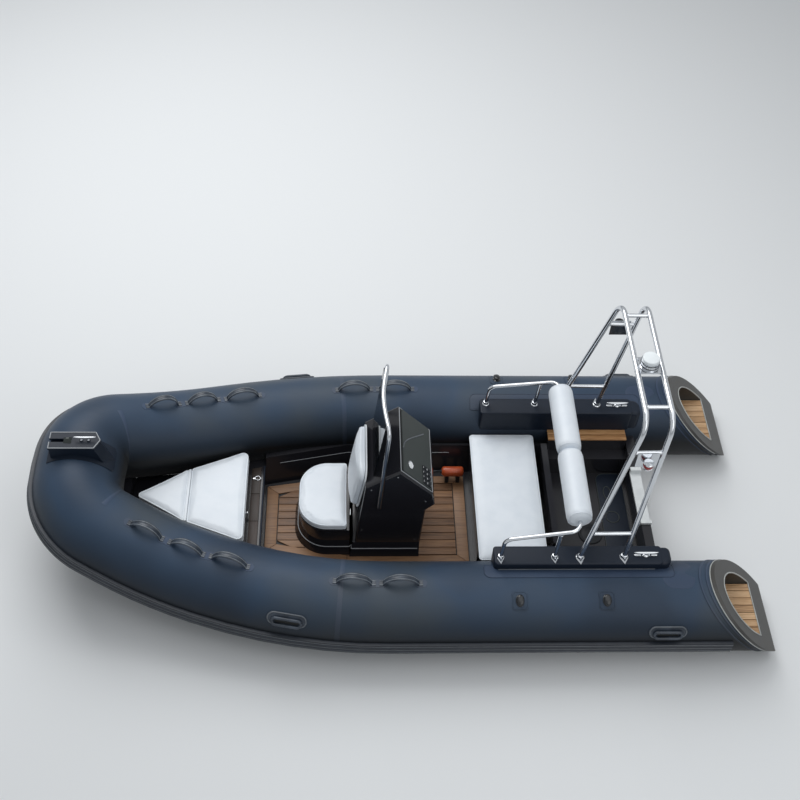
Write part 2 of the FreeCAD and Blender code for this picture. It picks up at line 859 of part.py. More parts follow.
def make_hinges():
    """Two butt hinges: each a leaf on the box's aft face with the knuckle on its top."""
    x = jockey_aft_x - seam
    hinges = []
    for y in (-hinge_y, hinge_y):
        y0, y1 = y - hinge_w / 2.0, y + hinge_w / 2.0
        pin = bar((x - hinge_pin_r, y0, jockey_pin_z), (x - hinge_pin_r, y1, jockey_pin_z),
                  hinge_pin_r)
        leaf = box(x - hinge_leaf_t, x, y0, y1, jockey_pin_z - hinge_leaf_h, jockey_pin_z)
        hinges.append(pin.fuse(leaf))
    return Part.makeCompound(hinges)


# Console


def make_console():
    """The console moulding with a knee recess in its aft side."""
    foot = floor_top + seam
    profile = ((console_front[0][0], foot),) + console_front[1:] + console_aft[:-1]
    profile += ((console_aft[-1][0], foot),)
    body = side_prism(profile, -console_half, console_half)
    sharp = [e for e in body.Edges if abs(e.CenterOfMass.y) > console_half - 1.0
             and e.CenterOfMass.z > foot + 10.0]
    body = body.makeFillet(console_edge_r, sharp)
    aft = console_aft[-1][0]
    fore = jockey_aft_x - seam

    def ring(z, x0, x1, half):
        corners = [Vec(x0, -half, z), Vec(x1, -half, z), Vec(x1, half, z), Vec(x0, half, z)]
        return Part.makePolygon(corners + corners[:1])

    plinth = Part.makeLoft([ring(foot, aft, fore, console_half + skirt_out),
                            ring(foot + skirt_h, aft, console_front[0][0], console_half)],
                           True, True)
    body = body.fuse(plinth).removeSplitter()
    knee = box(aft - 60.0, aft + knee_depth, -knee_half, knee_half, knee_z0, knee_z1)
    return body.cut(knee)


def dash_frame():
    """Placement on the sloped dash: local X down the slope, local Z out of it."""
    top, low = console_front[2], console_aft[0]
    down = Vec(low[0] - top[0], 0, low[1] - top[1])
    length = down.Length
    down = down.normalize()
    out = Vec(down.z, 0, -down.x)
    across = out.cross(down)
    base = Vec(top[0], 0, top[1])
    return FreeCAD.Placement(base, FreeCAD.Rotation(down, across, out, "XYZ")), length


def make_dash():
    """The dash panel, one round gauge and the switch panel."""
    place, length = dash_frame()
    y = console_half - console_edge_r - 4.0
    panel = box(dash_margin, length - dash_margin, -y, y, seam, dash_t)
    panel = panel.makeFillet(12.0, edges_along(panel, Vec(0, 0, 1)))
    gauge = Part.makeCylinder(gauge_r, gauge_h, Vec(length * gauge_share, gauge_y, dash_t + seam))
    x0, y0 = length * switch_share, switch_y - switch_w / 2.0
    top = dash_t + switch_h
    switches = [box(x0, x0 + switch_d, y0, y0 + switch_w, dash_t + seam, top)]
    for row in switch_rows:
        for i in range(switches_per_row):
            x = x0 + switch_d * row
            y = y0 + switch_w * (i + 0.5) / switches_per_row
            switches.append(box(x - rocker_l / 2.0, x + rocker_l / 2.0, y - rocker_w / 2.0,
                                y + rocker_w / 2.0, top, top + rocker_h))
    switches = fused(switches)
    return [placed(s, place) for s in (panel, gauge, switches)]


def back_block(near, far, half, r):
    """A slab square to the seat back's slope, between two depths behind its front face."""
    up = Vec(back_top[0] - back_bottom[0], 0, back_top[1] - back_bottom[1])
    height = up.Length
    up = up.normalize()
    across = Vec(0, 1, 0)
    forward = across.cross(up)
    slab = box(0.0, height, -half, half, near, far)
    slab = slab.makeFillet(r, edges_along(slab, Vec(0, 0, 1)))
    turn = FreeCAD.Rotation(up, across, forward * -1.0, "XYZ")
    return placed(slab, FreeCAD.Placement(Vec(back_bottom[0], 0, back_bottom[1]), turn))


def make_seat_back(console):
    """The pad against the console's front and the thin shell behind it."""
    pad = back_block(0.0, back_pad_t, back_half, back_corner_r)
    shell = back_block(back_pad_t + soft_clear, back_pad_t + soft_clear + back_shell_t,
                       back_half + 10.0, back_corner_r)
    return pad, shell.cut(console)


# Windscreen


def make_windscreen(console):
    """The bent rail round the screen and the tinted panel inside it."""
    y = screen_leg_y
    (foot_x, foot_z), (x, z) = screen_leg_foot, screen_corner
    points = [(foot_x, y, foot_z), (x, y, z), (x + screen_bow, 0.0, z), (x, -y, z),
              (foot_x, -y, foot_z)]
    rail = rod(points, [screen_bend_r, screen_bow_r, screen_bend_r], screen_rail_r)
    foot = console_top_at(screen_foot_x, 0.0)
    top = Vec(screen_top_x, 0, z - screen_rail_r - seam)
    lean = top.sub(foot).normalize()
    low = foot.sub(lean * console_edge_r)
    ahead = Vec(0, 1, 0).cross(lean)
    corners = [low + Vec(0, screen_foot_half, 0), top + Vec(0, screen_top_half, 0),
               top - Vec(0, screen_top_half, 0), low - Vec(0, screen_foot_half, 0)]
    panel = Part.Face(Part.makePolygon(corners + corners[:1])).extrude(ahead * screen_t)
    return rail, largest(panel.cut(console).cut(rail))


def console_top_at(x, y):
    """A point on the console's sloped top, ahead of the dash."""
    (x0, z0), (x1, z1) = console_front[1:]
    return Vec(x, y, z0 + (z1 - z0) * (x - x0) / (x1 - x0))


# Bench and backrest


def make_bench():
    """The bench box, the cushion on it and the panel behind it."""
    floor = sole_z + seam
    inset = bench_box_inset
    top = bench_cushion_top - bench_cushion_t - soft_clear
    y = cockpit_half - 2.0
    seat_box = box(bench_aft_x + inset, bench_fore_x - inset, -y, y, floor, top)
    seat_box = seat_box.cut(box(bench_aft_x + inset + bench_wall, bench_fore_x - inset - bench_wall,
                                -y + bench_wall, y - bench_wall, floor - 1.0, top - bench_wall))
    low = bench_cushion_top - bench_cushion_t
    section = [(-bench_low_half, low), (bench_low_half, low), (bench_half, bench_cushion_top),
               (-bench_half, bench_cushion_top)]
    corners = [Vec(bench_aft_x, py, pz) for py, pz in section]
    face = Part.Face(Part.makePolygon(corners + corners[:1]))
    pad = face.extrude(Vec(bench_fore_x - bench_aft_x, 0, 0))
    x = bench_aft_x - 26.0
    back = box(x - bench_back_t, x, -y, y, floor, floor + bench_back_h)
    return seat_box, pad, back


def make_backrest():
    """The backrest rail on the side mouldings, and two rolls round its cross bar."""
    base = side_box_top + seam
    start = base + foot_t + seam
    turn = (roll_x, rest_turn_y, roll_z)
    half = [rest_front_foot + (start,), rest_front_top, turn]
    points = half + [(x, -y, z) for x, y, z in reversed(half)]
    corner_bend = rest_turn_y - roll_end - 6.0
    bends = [rest_bend_r, corner_bend, corner_bend, rest_bend_r]
    rail = rod(points, bends, rest_rail_r)
    joint = lerp(rest_front_top, turn, rest_leg_share)
    foot = rest_rear_foot + (start,)
    legs = [bar((foot[0], side * foot[1], foot[2]), (joint[0], side * joint[1], joint[2]),
                rest_rail_r) for side in (1, -1)]
    feet = flanges([rest_front_foot, rest_rear_foot], base)
    rail = Part.makeCompound([fused([rail] + legs)] + feet)
    start, end = (roll_x, roll_gap / 2.0, roll_z), (roll_x, roll_end, roll_z)
    roll = bar(start, end, roll_r).cut(bar(start, end, rest_rail_r + soft_clear))
    return rail, both(roll)


def make_side_box():
    """Port moulding that sits on the side tube and carries the rail and arch feet."""
    block = box(side_box_x0, side_box_x1, side_box_in, side_box_out, side_box_bottom,
                side_box_top)
    top = [e for e in block.Edges if e.CenterOfMass.z > side_box_top - 1.0]
    block = block.makeChamfer(side_box_chamfer, top)
    return largest(block.cut(collar_grown))


# Arch


def lerp(a, b, share):
    """A point on the way from a to b."""
    return tuple(p + (q - p) * share for p, q in zip(a, b))


def make_arch():
    """Two hoops with rungs between them."""
    base = side_box_top + seam
    start = base + foot_t + seam
    parts = []
    legs = []
    for foot_x, foot_y, top_x, top_y, top_z in arch_hoops:
        foot, top = (foot_x, foot_y, start), (top_x, top_y, top_z)
        legs.append((foot, top))
        points = [foot, top, (top_x, -top_y, top_z), (foot_x, -foot_y, start)]
        parts.append(rod(points, [arch_bend_r, arch_bend_r], arch_r))
    for share in arch_rung_heights:
        a, b = lerp(*legs[0], share), lerp(*legs[1], share)
        rung = bar(a, b, arch_rung_r)
        parts += [rung, mirrored(rung)]
    fore, aft = legs[0][1], legs[1][1]
    light_rungs = [light_plate_y + side * light_rung_y for side in (-1, 1)]
    for y, r in [(y, arch_rung_r) for y in arch_top_rungs] + [(y, light_rung_r) for y in light_rungs]:
        parts.append(bar((fore[0], y, fore[2]), (aft[0], y, aft[2]), r))
    feet = flanges([(hoop[0], hoop[1]) for hoop in arch_hoops], base)
    return Part.makeCompound([fused(parts)] + feet), legs


def flanges(points, z):
    """Round base flanges under rail feet, port and starboard."""
    feet = []
    for x, y in points:
        foot = Part.makeCylinder(foot_r, foot_t, Vec(x, y, z))
        feet += [foot, mirrored(foot)]
    return feet


def make_lights(legs):
    """The all-round light on the arch's top and a side light on each leg."""
    fore, aft = legs[0][1], legs[1][1]
    middle = (fore[0] + aft[0]) / 2.0
    z = fore[2] + light_rung_r + seam
    half = light_plate_w / 2.0
    plate = box(aft[0] + arch_r + seam, fore[0] - arch_r - seam, light_plate_y - half,
                light_plate_y + half, z, z + plate_t)
    seat = z + plate_t + seam
    base = Part.makeCylinder(light_r, light_base_h, Vec(middle, light_plate_y, seat))
    lens = Part.makeCylinder(light_r - 5.0, light_h,
                             Vec(middle, light_plate_y, seat + light_base_h + seam))
    p, q = lerp(*legs[0], arch_rung_heights[1]), lerp(*legs[1], arch_rung_heights[1])
    centre = lerp(p, q, 0.5)
    y = centre[1] + arch_rung_r + side_plate_gap
    z = centre[2] - side_plate_drop
    side_plate = box(centre[0] - side_plate_half, centre[0] + side_plate_half, y, y + plate_t,
                     z - side_plate_half, z + side_plate_half)
    y += plate_t + seam + side_light_r
    housing = Part.makeCylinder(side_light_r, side_light_h,
                                Vec(centre[0], y, z - side_light_h / 2.0))
    return plate, base, lens, side_plate, housing


# Fittings on the tubes


def arch_strap(half, rise, t, width, low):
    """A flat strap that arches between two feet: straight legs and a level grip."""
    run = 0.62 * half
    outer = [(-half, low), (-run, rise), (run, rise), (half, low)]
    inner = [(half - 1.6 * t, low), (run - 0.4 * t, rise - t), (0.4 * t - run, rise - t),
             (1.6 * t - half, low)]
    return side_prism(outer + inner, -width / 2.0, width / 2.0)


def make_grab_handles():
    """Port grab handles: flat straps that arch between two glued feet on the tube's top."""
    straps = []
    half, reach = grab_span / 2.0, grab_span / 2.0 + grab_foot
    for x, angle in grab_handles:
        sag = 0.5 * half ** 2 / shoulder_r if x > shoulder_x else 0.0
        low = -grab_sink - sag
        strap = arch_strap(half, grab_rise, grab_t, grab_w, low)
        feet = [box(min(side * half, side * reach), max(side * half, side * reach),
                    -grab_w / 2.0, grab_w / 2.0, low, grab_t) for side in (-1, 1)]
        strap = placed(fused([strap] + feet), seat_on_collar(x, angle))
        straps.append(largest(strap.cut(collar_grown)))
    return Part.makeCompound(straps)


def make_carry_handles():
    """Port carry handles: a long base on the tube's shoulder with a raised grip."""
    handles = []
    l, w = carry_l / 2.0, carry_w / 2.0
    z = carry_base_t / 2.0
    for x, angle in carry_handles:
        base = box(-l, l, -w, w, -14.0, carry_base_t)
        base = base.makeChamfer(w * 0.6, edges_along(base, Vec(0, 0, 1)))
        grip = arch_strap(l - carry_foot, carry_grip_rise, carry_grip_t, carry_grip_w, z)
        handles.append(placed(fused([base, grip]), seat_on_collar(x, angle)).cut(collar_grown))
    return Part.makeCompound([largest(h) for h in handles])


def make_knobs():
    """Port lashing knobs, each on a rounded rubber patch that follows the tube."""
    pieces = []
    l, w = knob_patch_l / 2.0, knob_patch_w / 2.0
    for x, angle in knobs:
        patch = box(-l, l, -w, w, -knob_h, knob_h)
        patch = patch.makeChamfer(knob_patch_clip, edges_along(patch, Vec(0, 0, 1)))
        place = seat_on_collar(x, angle)
        skin = end_cylinder(collar_r + knob_patch_t, x - knob_patch_l, x + knob_patch_l, collar_z)
        patch = placed(patch, place).common(skin)
        knob = placed(Part.makeCylinder(knob_r, knob_h), place)
        pieces.append(largest(fused([patch, knob]).cut(collar_grown)))
    return Part.makeCompound(pieces)


def make_bow_block():
    """The moulded block over the bow tube, pointed aft, with an anchor slot at its front."""
    low = nose[2] + collar_r * 0.5

    def plan(grow, run, z):
        aft = block_aft_x - run - grow
        y = block_half + grow
        points = [(aft, 0.0), (aft + block_point, -y), (block_fore_x + grow, -y),
                  (block_fore_x + grow, y), (aft + block_point, y)]
        corners = [Vec(px, py, z) for px, py in points]
        return Part.makePolygon(corners + corners[:1])

    top = block_top_z - block_plate_t
    plate = Part.Face(plan(0.0, 0.0, top)).extrude(Vec(0, 0, block_plate_t))
    body = Part.makeLoft([plan(0.0, block_aft_run, low), plan(-4.0, 0.0, top)], True, True)
    skirt = Part.Face(plan(block_flange, block_aft_run, low)).extrude(Vec(0, 0, collar_r))
    skin = sweep(collar_circle(collar_r + block_flange_t), collar_path)
    slot = box(block_fore_x - block_slot_l, block_fore_x + block_slot_l, -block_slot_w / 2.0,
               block_slot_w / 2.0, block_top_z - block_slot_depth, block_top_z + block_slot_depth)
    block = fused([plate, body, skirt.common(skin)])
    return largest(block.cut(slot).cut(collar_grown))


def cleat(x, y, z, length):
    """A horn cleat: a bar with tapered ends on two feet."""
    h, half, r, foot = cleat_h, length / 2.0, cleat_r, cleat_foot_x
    top = z + h
    outline = [(x - foot - r, z), (x - foot - r, top - 2 * r), (x - half, top - r),
               (x - half, top), (x + half, top), (x + half, top - r),
               (x + foot + r, top - 2 * r), (x + foot + r, z), (x + foot - r, z),
               (x + foot - r, top - 2 * r), (x - foot + r, top - 2 * r), (x - foot + r, z)]
    body = side_prism(outline, y - r, y + r)
    return body.makeChamfer(r * 0.4, [e for e in edges_along(body, Vec(1, 0, 0))
                                      if e.CenterOfMass.z > top - 0.1])


def eye(x, y, z, direction):
    """A pad eye: a base plate and an upright lug with a round hole, standing out along X."""
    size = eye_plate_r
    plate = box(min(x, x + direction * 5.0), max(x, x + direction * 5.0), y - size, y + size,
                z - size * 1.4, z + size * 1.4)
    centre = x + direction * eye_reach
    lug = Part.makeCylinder(size, eye_t, Vec(centre, y - eye_t / 2.0, z), Vec(0, 1, 0))
    neck = box(min(x, centre), max(x, centre), y - eye_t / 2.0, y + eye_t / 2.0, z - size,
               z + size)
    hole = Part.makeCylinder(eye_hole_r, 2 * eye_t, Vec(centre, y - eye_t, z), Vec(0, 1, 0))
    return fused([plate, lug, neck]).cut(hole)


# Loose and bolted fittings in the cockpit


def make_extinguisher():
    """The small cylinder that lies along the starboard side, with its valve and two saddles."""
    x0, x1, y, r = bottle_x0, bottle_x1, bottle_y, bottle_r
    z = floor_top + bottle_lift + r
    body = bar((x0, y, z), (x1, y, z), r)
    valve = bar((x1 - 1.0, y, z), (x1 + 60.0, y, z), 11.0)
    saddles = []
    for share in (0.25, 0.75):
        x = x0 + (x1 - x0) * share
        block = box(x - 12.0, x + 12.0, y - r * 0.8, y + r * 0.8, floor_top + seam, z - r * 0.3)
        saddles.append(block.cut(bar((x - 20.0, y, z), (x + 20.0, y, z), r + seam)))
    return fused([body, valve]), Part.makeCompound(saddles)


def make_hatch():
    """The round inspection hatch in the well's sole."""
    return Part.makeCylinder(hatch_r, hatch_t, Vec(hatch_x, hatch_y, well_sole_z + seam))


# Build

collar_grown = sweep(collar_circle(collar_r + seam), collar_path)
nodes = {}
nodes["collar"] = make_collar()
nodes["tube_ends"] = both(make_tube_end())
nodes["tube_end_planks"] = both(make_end_planks())
nodes["rub_strake"] = make_rub_strake()
nodes["hull_bottom"], nodes["deck_moulding"] = make_hull_and_deck()
nodes["transom"] = make_transom()
nodes["transom_cap"] = make_transom_cap()
nodes["floor_base"], nodes["floor_planks"] = make_floor()
nodes["stern_shelves"], nodes["ledge_planks"] = make_shelves()
nodes["bow_step"] = make_bow_step()
nodes["bow_locker"] = make_bow_locker()
nodes["bow_locker_lid"] = make_bow_lid()
nodes["bow_fore_panel"] = make_bow_fore_panel()
nodes["bow_cushion_aft"] = make_bow_cushion(bow_aft_x, bow_seam_x - bow_seam_gap, 40.0)
fore_pad = make_bow_cushion(bow_seam_x + bow_cord_r / 2.0, bow_tip_x, 0.0)
nodes["bow_cushion_fore"] = fused([fore_pad, make_fold_cord()])
nodes["jockey_box"], nodes["jockey_lid"], nodes["jockey_cushion"] = make_jockey_seat()
nodes["jockey_hinges"] = make_hinges()
nodes["console"] = make_console()
nodes["dash_panel"], gauge, switches = make_dash()
nodes["dash_instruments"] = Part.makeCompound([gauge, switches])
nodes["seat_back_pad"], nodes["seat_back_shell"] = make_seat_back(nodes["console"])
nodes["windscreen_rail"], nodes["windscreen"] = make_windscreen(nodes["console"])
nodes["bench_box"], nodes["bench_cushion"], nodes["bench_panel"] = make_bench()
nodes["backrest_rail"], nodes["backrest_rolls"] = make_backrest()
nodes["side_boxes"] = both(make_side_box())
nodes["arch"], arch_legs = make_arch()
plate, light_base, nodes["light_lens"], side_plate, side_light = make_lights(arch_legs)
nodes["light_mounts"] = Part.makeCompound([plate, light_base, side_plate, mirrored(side_plate)])
nodes["side_lights"] = both(side_light)
nodes["grab_handles"] = both(make_grab_handles())
nodes["carry_handles"] = both(make_carry_handles())
nodes["knobs"] = both(make_knobs())
nodes["bow_block"] = make_bow_block()
aft_cleat = cleat(aft_cleat_x, aft_cleat_y, side_box_top + seam, cleat_l)
bow_cleat = cleat(bow_cleat_x, 0.0, block_top_z + seam, bow_cleat_l)
nodes["cleats"] = Part.makeCompound([aft_cleat, mirrored(aft_cleat), bow_cleat])
nodes["well_hatch"] = make_hatch()
nodes["fire_bottle"], nodes["bottle_saddles"] = make_extinguisher()
transom_face = transom_x - transom_t - seam
nodes["motor_pad"] = box(transom_face - motor_pad_t, transom_face, -motor_pad_half,
                         motor_pad_half, *motor_pad_z)
nodes["stern_eyes"] = both(eye(transom_face, stern_eye_y, stern_eye_z, -1))

os.makedirs("parts", exist_ok=True)
for name, shape in nodes.items():
    solids = Part.makeCompound(shape.Solids) if len(shape.Solids) > 1 else shape.Solids[0]
    solids.exportStep("parts/%s.step" % name)
    print(name, "solids", len(shape.Solids), "valid", shape.isValid(),
          "litres %.2f" % (shape.Volume / 1e6))
print("nodes", len(nodes))
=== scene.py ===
"""Looks of a rigid inflatable boat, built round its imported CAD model.

Everything is in metres in the frame of the CAD model: X forward, Y to port, Z up, with the
origin on the waterline. Each sub-assembly is a class that builds its own meshes, gives them
their finishes and lets them ride on the CAD body that carries them.
"""

import logging
import math
from dataclasses import dataclass, field
from enum import Enum
from typing import Callable, Sequence

import bmesh
import bpy
import numpy as np
from mathutils import Matrix, Quaternion, Vector
from mathutils.bvhtree import BVHTree


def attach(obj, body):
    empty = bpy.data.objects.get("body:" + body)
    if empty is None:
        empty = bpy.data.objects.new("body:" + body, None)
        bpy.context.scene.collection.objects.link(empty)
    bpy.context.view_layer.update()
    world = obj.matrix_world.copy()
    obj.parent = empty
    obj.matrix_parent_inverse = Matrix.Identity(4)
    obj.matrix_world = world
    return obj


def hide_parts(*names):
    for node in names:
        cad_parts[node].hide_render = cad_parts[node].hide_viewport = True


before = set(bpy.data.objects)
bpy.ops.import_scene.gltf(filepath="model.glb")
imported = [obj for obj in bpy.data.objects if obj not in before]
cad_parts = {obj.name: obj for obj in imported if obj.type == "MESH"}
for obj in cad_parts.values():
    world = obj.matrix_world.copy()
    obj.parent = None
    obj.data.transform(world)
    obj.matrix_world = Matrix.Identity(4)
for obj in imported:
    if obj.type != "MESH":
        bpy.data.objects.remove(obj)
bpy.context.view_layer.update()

LOG = logging.getLogger("boat")
MM = 0.001
UP = Vector((0.0, 0.0, 1.0))
PORT = Vector((0.0, 1.0, 0.0))
FORWARD = Vector((1.0, 0.0, 0.0))
SIDES = (1.0, -1.0)

BMesh = bmesh.types.BMesh
Colour = tuple[float, float, float, float]
Plan = Sequence[tuple[float, float]]
Ring = list[Vector]
Socket = bpy.types.NodeSocket
Tree = bpy.types.NodeTree


class Body(Enum):
    """The CAD bodies that pieces ride on."""

    BOAT = "boat"
    BOW_LID = "bow_lid"
    SEAT_LID = "seat_lid"


class Texture(Enum):
    """What a pattern is made of: a texture node and the output that is read."""

    CLOUDS = ("ShaderNodeTexNoise", "Fac")
    CELLS = ("ShaderNodeTexVoronoi", "Distance")


# Colour and nodes


def linear(colour: str) -> Colour:
    """Turns an sRGB hex colour into linear light.

    Args:
        colour: Six hex digits after a hash.

    Returns:
        Red, green, blue and an alpha of one.
    """
    parts = [int(colour[i : i + 2], 16) / 255.0 for i in (1, 3, 5)]
    low = [c / 12.92 if c <= 0.04045 else ((c + 0.055) / 1.055) ** 2.4 for c in parts]
    return (low[0], low[1], low[2], 1.0)


def connect(tree: Tree, node: bpy.types.Node, inputs: dict[str | int, object]) -> None:
    """Feeds a node's inputs.

    Args:
        tree: The node tree.
        node: The node that is fed.
        inputs: Input name or index, and the socket or the value that it takes.
    """
    for key, value in inputs.items():
        if isinstance(value, Socket):
            tree.links.new(value, node.inputs[key])
        else:
            node.inputs[key].default_value = value


def add_node(
    tree: Tree, kind: str, inputs: dict[str | int, object] | None = None, **settings: object
) -> bpy.types.Node:
    """Adds one node to a tree.

    Args:
        tree: The node tree.
        kind: The node's Blender type name.
        inputs: Input name or index, and the socket or the value that it takes.
        **settings: Properties of the node itself.

    Returns:
        The new node.
    """
    made = tree.nodes.new(kind)
    for name, value in settings.items():
        setattr(made, name, value)
    connect(tree, made, inputs or {})
    return made


# Finishes


@dataclass(frozen=True)
class Pattern:
    """A texture whose features have a real size.

    Attributes:
        size: Size of a feature in metres.
        detail: Octaves of finer noise.
        stretch: How much longer a feature is along each axis.
        texture: What the features are.
    """

    size: float
    detail: float = 0.0
    stretch: tuple[float, float, float] = (1.0, 1.0, 1.0)
    texture: Texture = Texture.CLOUDS


@dataclass(frozen=True)
class Recipe:
    """What a finish feeds its shader with.

    Attributes:
        tones: Positions on the wear, each with its colour, or one colour.
        gloss: Lowest and highest roughness.
        wear: The pattern of the tones.
        scuffs: The pattern of the roughness.
        grain: The pattern of the relief, or None.
        depth: The relief's depth in metres.
        strength: The share of the relief that shows.
        sockets: Values that stay the same all over, on the shader's own sockets.
        broad: A second, broader pattern for the tones, or None.
    """

    tones: Sequence[tuple[float, Colour]]
    gloss: tuple[float, float]
    wear: Pattern
    scuffs: Pattern
    grain: Pattern | None = None
    depth: float = 0.0
    strength: float = 0.5
    sockets: dict[str, float] = field(default_factory=dict)
    broad: Pattern | None = None


class Finish:
    """A surface finish: a named material made once and shared by its pieces."""

    title: str = "finish"

    def recipe(self) -> Recipe:
        """What the shader is fed with."""
        raise NotImplementedError

    def origin(self, tree: Tree, place: Socket) -> Socket:
        """Where the patterns lie: the object's own coordinates."""
        return place

    def shade(self, tree: Tree, wear: Socket, broad: Socket | None) -> Socket:
        """What the tones are looked up with: the wear itself."""
        return wear

    def tint(self, tree: Tree, colour: Socket | Colour) -> Socket | Colour:
        """A last change of the colour: none."""
        return colour

    def material(self) -> bpy.types.Material:
        """The material of this finish.

        Returns:
            The material, made at the first call.
        """
        known = bpy.data.materials.get(self.title)
        if known is not None:
            return known
        made = bpy.data.materials.new(self.title)
        made.use_nodes = True
        tree = made.node_tree
        recipe = self.recipe()
        place = self.origin(tree, add_node(tree, "ShaderNodeTexCoord").outputs["Object"])
        factors: dict[Pattern | None, Socket | None] = {None: None}
        used = (recipe.wear, recipe.scuffs, recipe.broad, recipe.grain)
        for pattern in filter(None, dict.fromkeys(used)):
            scale = tuple(1.0 / (pattern.size * s) for s in pattern.stretch)
            scaled = add_node(tree, "ShaderNodeMapping", {"Vector": place, "Scale": scale})
            inputs = {"Vector": scaled.outputs["Vector"], "Scale": 1.0, "Detail": pattern.detail}
            kind, output = pattern.texture.value
            settings = {"feature": "SMOOTH_F1"} if pattern.texture is Texture.CELLS else {}
            factors[pattern] = add_node(tree, kind, inputs, **settings).outputs[output]
        colour = recipe.tones[0][1]
        if len(recipe.tones) > 1:
            shade = self.shade(tree, factors[recipe.wear], factors[recipe.broad])
            ramp = add_node(tree, "ShaderNodeValToRGB", {"Fac": shade})
            elements = ramp.color_ramp.elements
            while len(elements) < len(recipe.tones):
                elements.new(0.5)
            for element, (position, tone) in zip(elements, recipe.tones):
                element.position = position
                element.color = tone
            colour = ramp.outputs["Color"]
        low, high = recipe.gloss
        inputs = {"Value": factors[recipe.scuffs], "To Min": low, "To Max": high}
        gloss = add_node(tree, "ShaderNodeMapRange", inputs).outputs["Result"]
        shader = tree.nodes["Principled BSDF"]
        connect(tree, shader, {"Base Color": self.tint(tree, colour), "Roughness": gloss})
        connect(tree, shader, recipe.sockets)
        if recipe.grain is not None:
            inputs = {"Distance": recipe.depth, "Strength": recipe.strength}
            relief = add_node(tree, "ShaderNodeBump", {"Height": factors[recipe.grain], **inputs})
            connect(tree, shader, {"Normal": relief.outputs["Normal"]})
        return made


@dataclass(frozen=True)
class CoatedFabric(Finish):
    """Rubber-coated polyester of the inflated tubes, calendered: a satin skin over a weave."""

    title: str = "calendered_rubber_coated_fabric"
    cool: str = "#304359"
    warm: str = "#404a54"
    dark: str = "#28384b"
    # Painted shade: the near-black colour given to skin that faces down, away from the light
    painted_shade_colour: str = "#05080c"
    thread: float = 1.6 * MM
    # Painted light: the normal's upward share at which the painted shade starts and ends
    painted_light_low: float = 0.15
    painted_light_high: float = 0.92

    def recipe(self) -> Recipe:
        """A slate satin with faint scuffs and the weave's grain.

        The real thread is 0.8 mm wide. It is drawn twice as coarse so that it shows. Chalk
        and the weave break up most of the mirror.

        Returns:
            The recipe.
        """
        tones = [(0.36, linear(self.dark)), (0.52, linear(self.cool)), (0.7, linear(self.warm))]
        sockets = {"IOR": 1.52, "Specular IOR Level": 0.28}
        sockets |= {"Sheen Weight": 0.05, "Sheen Roughness": 0.45}
        clouds, scuffs = Pattern(0.7, 2.0), Pattern(0.02, 5.0, (4.0, 1.0, 1.0))
        weave = Pattern(self.thread, 1.0)
        return Recipe(tones, (0.4, 0.54), clouds, scuffs, weave, 0.12 * MM, 0.5, sockets)

    def tint(self, tree: Tree, colour: Socket | Colour) -> Socket | Colour:
        """Paints light and shade: what faces up takes the lit colour, the rest goes almost black.

        Args:
            tree: The node tree.
            colour: The colour painted where the skin faces up.

        Returns:
            The colour, mixed with the painted shade where the skin faces down.
        """
        # Painted light and shade: skin facing up takes the lit colour, skin facing down the painted shade
        normal = add_node(tree, "ShaderNodeNewGeometry").outputs["Normal"]
        height = add_node(tree, "ShaderNodeSeparateXYZ", {"Vector": normal}).outputs["Z"]
        inputs = {"Value": height, "From Min": self.painted_light_low, "From Max": self.painted_light_high}
        painted_light_share = add_node(tree, "ShaderNodeMapRange", inputs).outputs["Result"]
        inputs = {0: painted_light_share, 6: linear(self.painted_shade_colour), 7: colour}
        return add_node(tree, "ShaderNodeMix", inputs, data_type="RGBA").outputs[2]


@dataclass(frozen=True)
class MouldedRubber(Finish):
    """Extruded or compression-moulded rubber: dull black with a fine spark-eroded grain."""

    title: str = "moulded_rubber"
    colour: str = "#24272c"
    worn: str = "#33373d"
    roughness: float = 0.5
    grit: float = 0.9 * MM

    def recipe(self) -> Recipe:
        """A dull skin, paler where it has been rubbed.

        Returns:
            The recipe.
        """
        tones = [(0.42, linear(self.colour)), (0.75, linear(self.worn))]
        gloss = (self.roughness - 0.08, self.roughness + 0.1)
        rubbed, grit = Pattern(0.06, 5.0), Pattern(self.grit, 1.0)
        return Recipe(tones, gloss, rubbed, rubbed, grit, 0.08 * MM, 0.5, {"IOR": 1.52})


@dataclass(frozen=True)
class Gelcoat(Finish):
    """Sprayed gelcoat of a glass-fibre moulding: deep gloss with a faint orange peel."""

    title: str = "black_gelcoat"
    colour: str = "#06070a"
    haze: str = "#0a0c10"
    roughness: float = 0.12
    peel: float = 3.0 * MM

    def recipe(self) -> Recipe:
        """A glossy coat, hazed by fine wash marks. A film of salt dulls its mirror.

        Returns:
            The recipe.
        """
        tones = [(0.4, linear(self.colour)), (0.8, linear(self.haze))]
        gloss = (self.roughness * 0.7, self.roughness * 1.8)
        marks, peel = Pattern(0.05, 6.0), Pattern(self.peel, 1.0)
        sockets = {"IOR": 1.5, "Specular IOR Level": 0.3}
        return Recipe(tones, gloss, marks, marks, peel, 0.05 * MM, 0.35, sockets)


@dataclass(frozen=True)
class SatinPlastic(Finish):
    """Injection-moulded ABS with a fine leather-like grain."""

    title: str = "satin_abs"
    colour: str = "#1c1f23"
    roughness: float = 0.42
    grain: float = 1.2 * MM

    def recipe(self) -> Recipe:
        """An even satin, duller where it was handled. The moulded grain dulls its mirror.

        Returns:
            The recipe.
        """
        deep = linear(self.colour)
        pale = tuple(min(1.0, c * 1.25 + 0.002) for c in deep[:3]) + (1.0,)
        gloss = (self.roughness - 0.06, self.roughness + 0.08)
        handled, grain = Pattern(0.09, 4.0), Pattern(self.grain, 1.0)
        sockets = {"IOR": 1.54, "Specular IOR Level": 0.22}
        tones = [(0.0, deep), (1.0, pale)]
        return Recipe(tones, gloss, handled, handled, grain, 0.06 * MM, 0.5, sockets)


